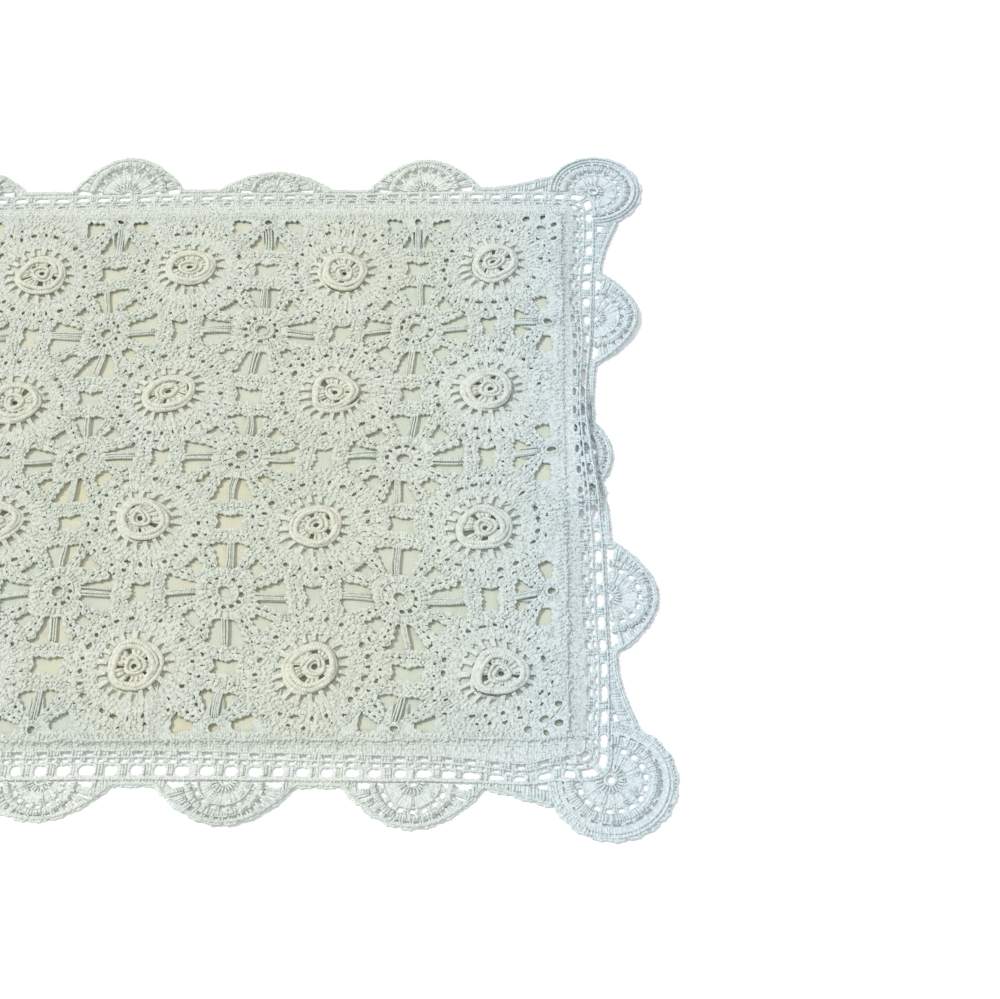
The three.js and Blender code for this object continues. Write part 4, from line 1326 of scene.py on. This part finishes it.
class SHAM_OT_border(bpy.types.Operator):
    """Work the four sides of the border, with their rows of holes and scallops"""
    bl_idname = "sham.border"
    bl_label = "Border"

    def execute(self, context):
        for side, half in SIDE_HALF.items():
            yarns = side_yarns(new_yarns(context, [3, SIDE_SEEDS[side]]), side)
            yarns.moved(place_on_side(side))
            yarns.bundles += half_wheels(yarns, side)
            crochet(f"border_{side}", yarns, material_of(context, "border"), f"edging_{side}")
        return {"FINISHED"}


class SHAM_OT_corners(bpy.types.Operator):
    """Work the four corner fans"""
    bl_idname = "sham.corners"
    bl_label = "Corner fans"

    def execute(self, context):
        for seed, name in enumerate(CORNERS):
            yarns = corner_yarns(new_yarns(context, [4, seed]), name)
            yarns.moved(place_on_corner(name))
            filling = corner_filling(new_yarns(context, [5, seed]))
            sign_x, sign_y = CORNERS[name]
            filling.moved(lambda points: lay(xyz(
                sign_x * (HALF_LENGTH - points[..., 0]), sign_y * (HALF_WIDTH - points[..., 1]),
                LACE_MIDDLE + points[..., 2])))
            yarns.bundles += filling.bundles
            crochet(f"fan_{name}", yarns, material_of(context, "border"), f"corner_fan_{name}")
        return {"FINISHED"}


class SHAM_OT_stage(bpy.types.Operator):
    """Set the floor, the lamps and the camera"""
    bl_idname = "sham.stage"
    bl_label = "Stage"

    def execute(self, context):
        scene = context.scene
        settings = scene.sham_stage
        reach = np.array([-3000, 3000, 3000, -3000])
        floor = mesh_object("floor", xyz(reach, np.roll(reach, 1), -0.2), np.array([[0, 1, 2, 3]]))
        material, tree, shader = new_material("White board, matt", {
            "Base Color": linear(BOARD), "Roughness": 1.0, "Specular IOR Level": 0.0})
        # the board shows a little whiter to the eye than it lights the lace
        ray = add(tree, "LightPath")
        seen = add(tree, "Math", {"operation": "MAXIMUM"}, i0=ray.outputs["Is Camera Ray"],
            i1=ray.outputs["Is Glossy Ray"])
        tree.links.new(seen.outputs[0], shader.inputs["Emission Strength"])
        shader.inputs["Emission Color"].default_value = (0.18, 0.18, 0.18, 1)
        floor.data.materials.append(material)

        lamp = bpy.data.lights.new("key", "SUN")
        lamp.energy = settings.sun
        lamp.angle = np.radians(6)
        key = bpy.data.objects.new("key", lamp)
        towards = Vector((-0.60, 0.19, 0.78))
        key.rotation_euler = towards.to_track_quat("Z", "Y").to_euler()
        scene.collection.objects.link(key)

        world = bpy.data.worlds.new("even")
        world.use_nodes = True
        tree = world.node_tree
        tree.nodes.clear()
        ray = add(tree, "LightPath")
        even = add(tree, "Background", {"Color": (1.0, 1.0, 1.0, 1), "Strength": settings.fill})
        white = add(tree, "Background", {"Color": (1.0, 1.0, 1.0, 1), "Strength": 1.0})
        either = add(tree, "MixShader", i0=ray.outputs["Is Camera Ray"], i1=even, i2=white)
        add(tree, "OutputWorld", Surface=either)
        scene.world = world
        scene.view_settings.view_transform = "Standard"

        lens = bpy.data.cameras.new("camera")
        lens.lens = 64.8
        lens.sensor_width = 36
        lens.clip_start, lens.clip_end = 0.05, 20
        camera = bpy.data.objects.new("camera", lens)
        # radians, and metres to the spot looked at
        height, turn, roll, distance = 0.9677, 0.0393, -0.0391, 0.7362
        back = Vector((np.sin(turn) * np.cos(height), -np.cos(turn) * np.cos(height), np.sin(height)))
        right = Vector((np.cos(turn), np.sin(turn), 0))
        up = back.cross(right)
        rolled = np.cos(roll) * right + np.sin(roll) * up
        upright = np.cos(roll) * up - np.sin(roll) * right
        look = Vector((0.1756, -0.0229, 0))
        axes = Matrix((rolled, upright, back)).transposed().to_4x4()
        camera.matrix_world = Matrix.Translation(look + back * distance) @ axes
        scene.collection.objects.link(camera)
        scene.camera = camera
        return {"FINISHED"}


class SHAM_PT_panel(bpy.types.Panel):
    """The pieces of the sham, in the order in which they are made"""
    bl_idname = "SHAM_PT_panel"
    bl_label = "Crocheted pillow sham"
    bl_space_type = "VIEW_3D"
    bl_region_type = "UI"
    bl_category = "Sham"

    def draw(self, context):
        layout = self.layout
        scene = context.scene
        for group in (scene.sham_yarn, scene.sham_cloth, scene.sham_stage):
            for name in group.bl_rna.properties.keys():
                if name not in ("rna_type", "name"):
                    layout.prop(group, name)
        for operator in OPERATORS:
            layout.operator(operator.bl_idname)


OPERATORS = (SHAM_OT_cloths, SHAM_OT_motifs, SHAM_OT_wheels, SHAM_OT_border, SHAM_OT_corners, SHAM_OT_stage)
CLASSES = (ShamYarnSettings, ShamClothSettings, ShamStageSettings, *OPERATORS, SHAM_PT_panel)


def register():
    for item in CLASSES:
        bpy.utils.register_class(item)
    bpy.types.Scene.sham_yarn = bpy.props.PointerProperty(type=ShamYarnSettings)
    bpy.types.Scene.sham_cloth = bpy.props.PointerProperty(type=ShamClothSettings)
    bpy.types.Scene.sham_stage = bpy.props.PointerProperty(type=ShamStageSettings)


def unregister():
    for name in ("sham_yarn", "sham_cloth", "sham_stage"):
        delattr(bpy.types.Scene, name)
    for item in reversed(CLASSES):
        bpy.utils.unregister_class(item)


def main():
    register()
    bpy.ops.sham.cloths()
    bpy.ops.sham.motifs()
    bpy.ops.sham.wheels()
    bpy.ops.sham.border()
    bpy.ops.sham.corners()
    bpy.ops.sham.stage()


if __name__ == "__main__":
    main()
